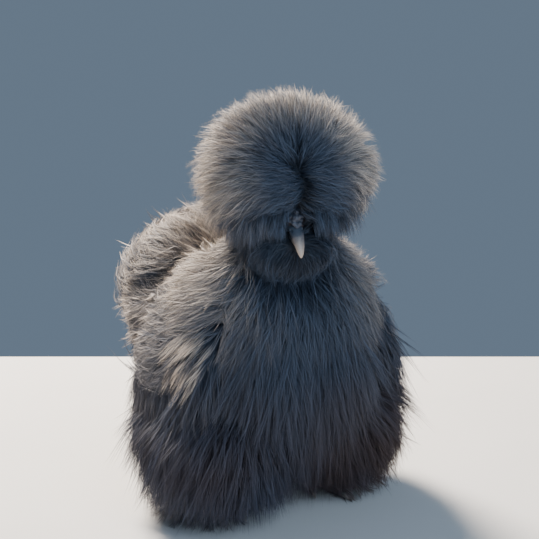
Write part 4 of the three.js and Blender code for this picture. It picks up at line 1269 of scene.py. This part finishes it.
# Eyes, with three rolls of lid round each: height, tilt and thickness
GAZE = (0.93, -0.36, 0)
LID_ROLLS = ((0.0003, 0.10, 0.00085), (0.0002, -0.10, 0.0010), (-0.0001, 0.0, 0.0012))


def make_eye(name, side):
    eye = oval(name, eye_centre(side), (EYE_RADIUS,) * 3, HEAD, 32)
    own = in_head(vertices_of(eye)) - np.array(eye_centre(side))
    gaze = unit(np.array((side * GAZE[0], *GAZE[1:])))
    put(eye.data, "off_gaze", np.arccos(np.clip(unit(own) @ gaze, -1, 1)))
    return smooth(eye)


def make_lids(name, side):
    rims = []
    for height, tilt, thick in LID_ROLLS:
        bpy.ops.mesh.primitive_torus_add(
            major_segments=32,
            minor_segments=10,
            major_radius=EYE_RADIUS - 0.0004 + 4 * abs(height),
            minor_radius=thick,
        )
        rim = bpy.context.object
        at = eye_centre(side) + Vector((side * (0.0022 + 2 * height), 0, 0))
        lean = Matrix.Rotation(math.radians(90), 4, "Y") @ Matrix.Rotation(tilt, 4, "X")
        rim.matrix_world = HEAD @ Matrix.Translation(at) @ Matrix.Diagonal((0.8, 1.06, 0.84, 1)) @ lean
        rims.append(settle(rim))
    return smooth(melt(rims, name, 0.0004, 2))


# Claws, and scutes on the toes and shanks
CLAW_LENGTH = 0.008
CLAW_ROOTED = 0.0015
CLAW_HALF = 0.0017
CLAW_RINGS = (0, 0.2, 0.4, 0.6, 0.78, 0.92, 1)
SCUTE_SPACING = 0.0030
SCUTE_HALF_LENGTH = 0.0020
SCUTE_HALF_THICKNESS = 0.0007
SCUTE_TILT = 0.16
SHANK_SCUTE_HALVES = (0.0036, 0.0022)


def make_claw(name, side, toe):
    line, _ = toe_line(side, toe, (0.7, 1))
    ahead = unit(line[1] - line[0])
    bend = np.array((0, 0, (0.25 if TOES[toe][3] else -0.12) * CLAW_LENGTH))
    aside = np.cross(ahead, (0, 0, 1))
    rings = []
    for share in CLAW_RINGS:
        middle = line[1] + ahead * (CLAW_LENGTH * share - CLAW_ROOTED) + bend * share**2
        thick = CLAW_HALF * math.sqrt(max(0.004, 1 - share**1.5))
        middle[2] = max(middle[2], thick + LEVEL_SOLE)
        rings.append((middle, ahead + 2 * share * bend / CLAW_LENGTH, aside, 0.85 * thick, thick))
    claw = smooth(loft(name, rings, 12), 60)
    from_toe = vertices_of(claw) - toe_line(side, toe, (1,))[0]
    put(claw.data, "along", np.linalg.norm(from_toe, axis=1) / CLAW_LENGTH)
    return claw


def make_scutes():
    bpy.ops.mesh.primitive_uv_sphere_add(segments=10, ring_count=6, radius=1)
    pattern = bpy.context.object
    plates = []

    def place(middle, ahead, above, wide, long):
        plate = pattern.copy()
        plate.data = pattern.data.copy()
        bpy.context.scene.collection.objects.link(plate)
        aside = unit(np.cross(ahead, above))
        axes = axes_of(aside, ahead, np.cross(aside, ahead)).to_4x4()
        size = Matrix.Diagonal((wide, long, SCUTE_HALF_THICKNESS, 1))
        tipped = Matrix.Rotation(SCUTE_TILT, 4, "X") @ size
        plate.matrix_world = Matrix.Translation(middle) @ axes @ tipped
        plates.append(plate)

    for side in (-1, 1):
        for toe, (_, share, radius, _) in TOES.items():
            count = round(share * MIDDLE_TOE_LENGTH / SCUTE_SPACING)
            shares = np.linspace(0.16, 1, count)
            line, _ = toe_line(side, toe, shares)
            ways = unit(np.gradient(line, axis=0))
            for i, s in enumerate(shares):
                thick = toe_thickness(radius, s)
                above = unit(np.array((0, 0, 1.0)) - ways[i] * ways[i][2])
                at = line[i] + above * (thick - 0.0001)
                place(at, ways[i], above, 0.72 * thick, SCUTE_HALF_LENGTH)
        hock, ankle = leg_point(side, *HOCK), leg_point(side, *ANKLE)
        down = unit(ankle - hock)
        front = unit(np.array((0, -1.0, 0)) - down * -down[1])
        for s in np.linspace(0.25, 1, 7):
            at = hock + (ankle - hock) * s + front * (SHANK_RADIUS + 0.0001)
            place(at, down, front, *SHANK_SCUTE_HALVES)
    bpy.data.objects.remove(pattern)
    return smooth(join(plates, "scutes"), 50)


# All pieces, each with its finish
coat_pieces = make_coat() + make_plumes()
FLESH = ["head", "crest", "beard", "neck", "torso", "tail"]
FLESH += [f"{part}_{side}" for part in ("wing", "thigh", "shank", "foot") for side in ("left", "right")]


def finish_piece(piece, material, slot, *nodes):
    piece.data.materials.clear()
    piece.data.materials.append(material)
    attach(piece, "root")
    if nodes:
        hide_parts(*nodes)


bare_regions = [name for name in REGIONS if name.startswith(BARE)]
put(skin.data, "bare", np.isin(np.array(REGIONS)[hide.region], bare_regions))
finish_piece(skin, close_down(), "skin", *FLESH)
plumage_material = silky_plumage()
for piece in coat_pieces:
    finish_piece(piece, plumage_material, "plumage")
slate_horn = (0.040, 0.052, 0.074, 1)
pale_tip = (0.42, 0.33, 0.26, 1)
beak_horn = horn("slate beak with a pale tip", slate_horn, pale_tip, 0.55, 1.25, 0.42)
claw_horn = horn("claw", (0.060, 0.058, 0.066, 1), (0.24, 0.21, 0.19, 1), 0.1, 0.9, 0.4)
comb_flesh = flesh("mulberry comb", (0.022, 0.027, 0.040, 1), (0.060, 0.072, 0.105, 1), 900, 0.55)
lid_flesh = flesh("lid", (0.020, 0.016, 0.022, 1), (0.060, 0.048, 0.058, 1), 1100, 0.6)
scute_skin = flesh("scutes", (0.030, 0.028, 0.034, 1), (0.085, 0.080, 0.088, 1), 700, 0.5)
eye_material = dark_eye()
for half, own_node in zip(make_beak(), ("beak_upper", "beak_lower")):
    finish_piece(half, beak_horn, "beak", own_node)
finish_piece(make_comb(), comb_flesh, "comb", "comb")
finish_piece(make_scutes(), scute_skin, "scales")
for name, side in SIDES:
    finish_piece(make_eye("eyeball_" + name, side), eye_material, "eye", "eye_" + name)
    finish_piece(make_lids("lids_" + name, side), lid_flesh, "skin")
    for toe in TOES:
        claw = make_claw(f"nail_{name}_{toe}", side, toe)
        finish_piece(claw, claw_horn, "claw", f"claw_{name}_{toe}")


# Studio: a pale floor, soft lights, and the camera at the photo's angle

PICTURE = 539
CAMERA_TURN = math.radians(-30)
CAMERA_RISE = math.radians(15)
CAMERA_DISTANCE = 1.1
SPAN = 0.334  # what the picture spans at the head
CREST_PIXEL = (287, 172)
CREST_MARK = HEAD_AT + SHIFT + Vector((0, 0, 0.025))

back = Vector(
    (
        math.sin(CAMERA_TURN) * math.cos(CAMERA_RISE),
        -math.cos(CAMERA_TURN) * math.cos(CAMERA_RISE),
        math.sin(CAMERA_RISE),
    )
)
right = Vector((math.cos(CAMERA_TURN), math.sin(CAMERA_TURN), 0))
up = back.cross(right)
middle_pixel = PICTURE / 2
per_pixel = SPAN / PICTURE
target = CREST_MARK - right * ((CREST_PIXEL[0] - middle_pixel) * per_pixel)
target -= up * ((middle_pixel - CREST_PIXEL[1]) * per_pixel)


def put_in_scene(name, data, place, turned):
    o = bpy.data.objects.new(name, data)
    bpy.context.scene.collection.objects.link(o)
    o.matrix_world = Matrix.Translation(place) @ turned.to_4x4()
    return o


def add_camera():
    data = bpy.data.cameras.new("camera")
    data.sensor_width = 36
    data.lens = data.sensor_width * CAMERA_DISTANCE / SPAN
    at = target + back * CAMERA_DISTANCE
    bpy.context.scene.camera = put_in_scene("camera", data, at, axes_of(right, up, back))


def add_light(name, place, size, power, colour):
    data = bpy.data.lights.new(name, "AREA")
    data.shape = "DISK"
    data.size = size
    data.energy = power
    data.color = colour
    at = target + Vector(place)
    put_in_scene(name, data, at, (target - at).to_track_quat("-Z", "Y").to_matrix())


FLOOR_BEHIND = 0.37  # the floor ends this far behind the bird
FLOOR_SIZE = (3, 2, 1)


def add_studio():
    behind = -Vector((back.x, back.y, 0)).normalized()
    middle = Vector((target.x, target.y, 0)) + behind * (FLOOR_BEHIND - FLOOR_SIZE[1] / 2)
    bpy.ops.mesh.primitive_plane_add(size=1, location=middle)
    floor = bpy.context.object
    floor.name = "floor"
    floor.scale = FLOOR_SIZE
    floor.rotation_euler = (0, 0, CAMERA_TURN)
    material, tree, principled = shader("pale floor", roughness=0.9)
    pale = mixed(tree, noise(tree, 9.0, 4.0), (0.50, 0.50, 0.50, 1), (0.56, 0.555, 0.55, 1))
    connect(tree, principled, {"Base Color": pale})
    floor.data.materials.append(material)
    settle(floor)
    world = bpy.data.worlds.new("studio")
    world.use_nodes = True
    sky = {"Color": (0.30, 0.41, 0.56, 1), "Strength": 0.45}
    connect(world.node_tree, world.node_tree.nodes["Background"], sky)
    bpy.context.scene.world = world
    add_light("key", -right * 0.5 + up * 1.1 - back * 0.55, 0.5, 118, (1, 0.88, 0.75))
    add_light("fill", right * 0.7 + up * 0.4 + back * 1.2, 1.2, 19, (0.66, 0.82, 1))


add_camera()
add_studio()
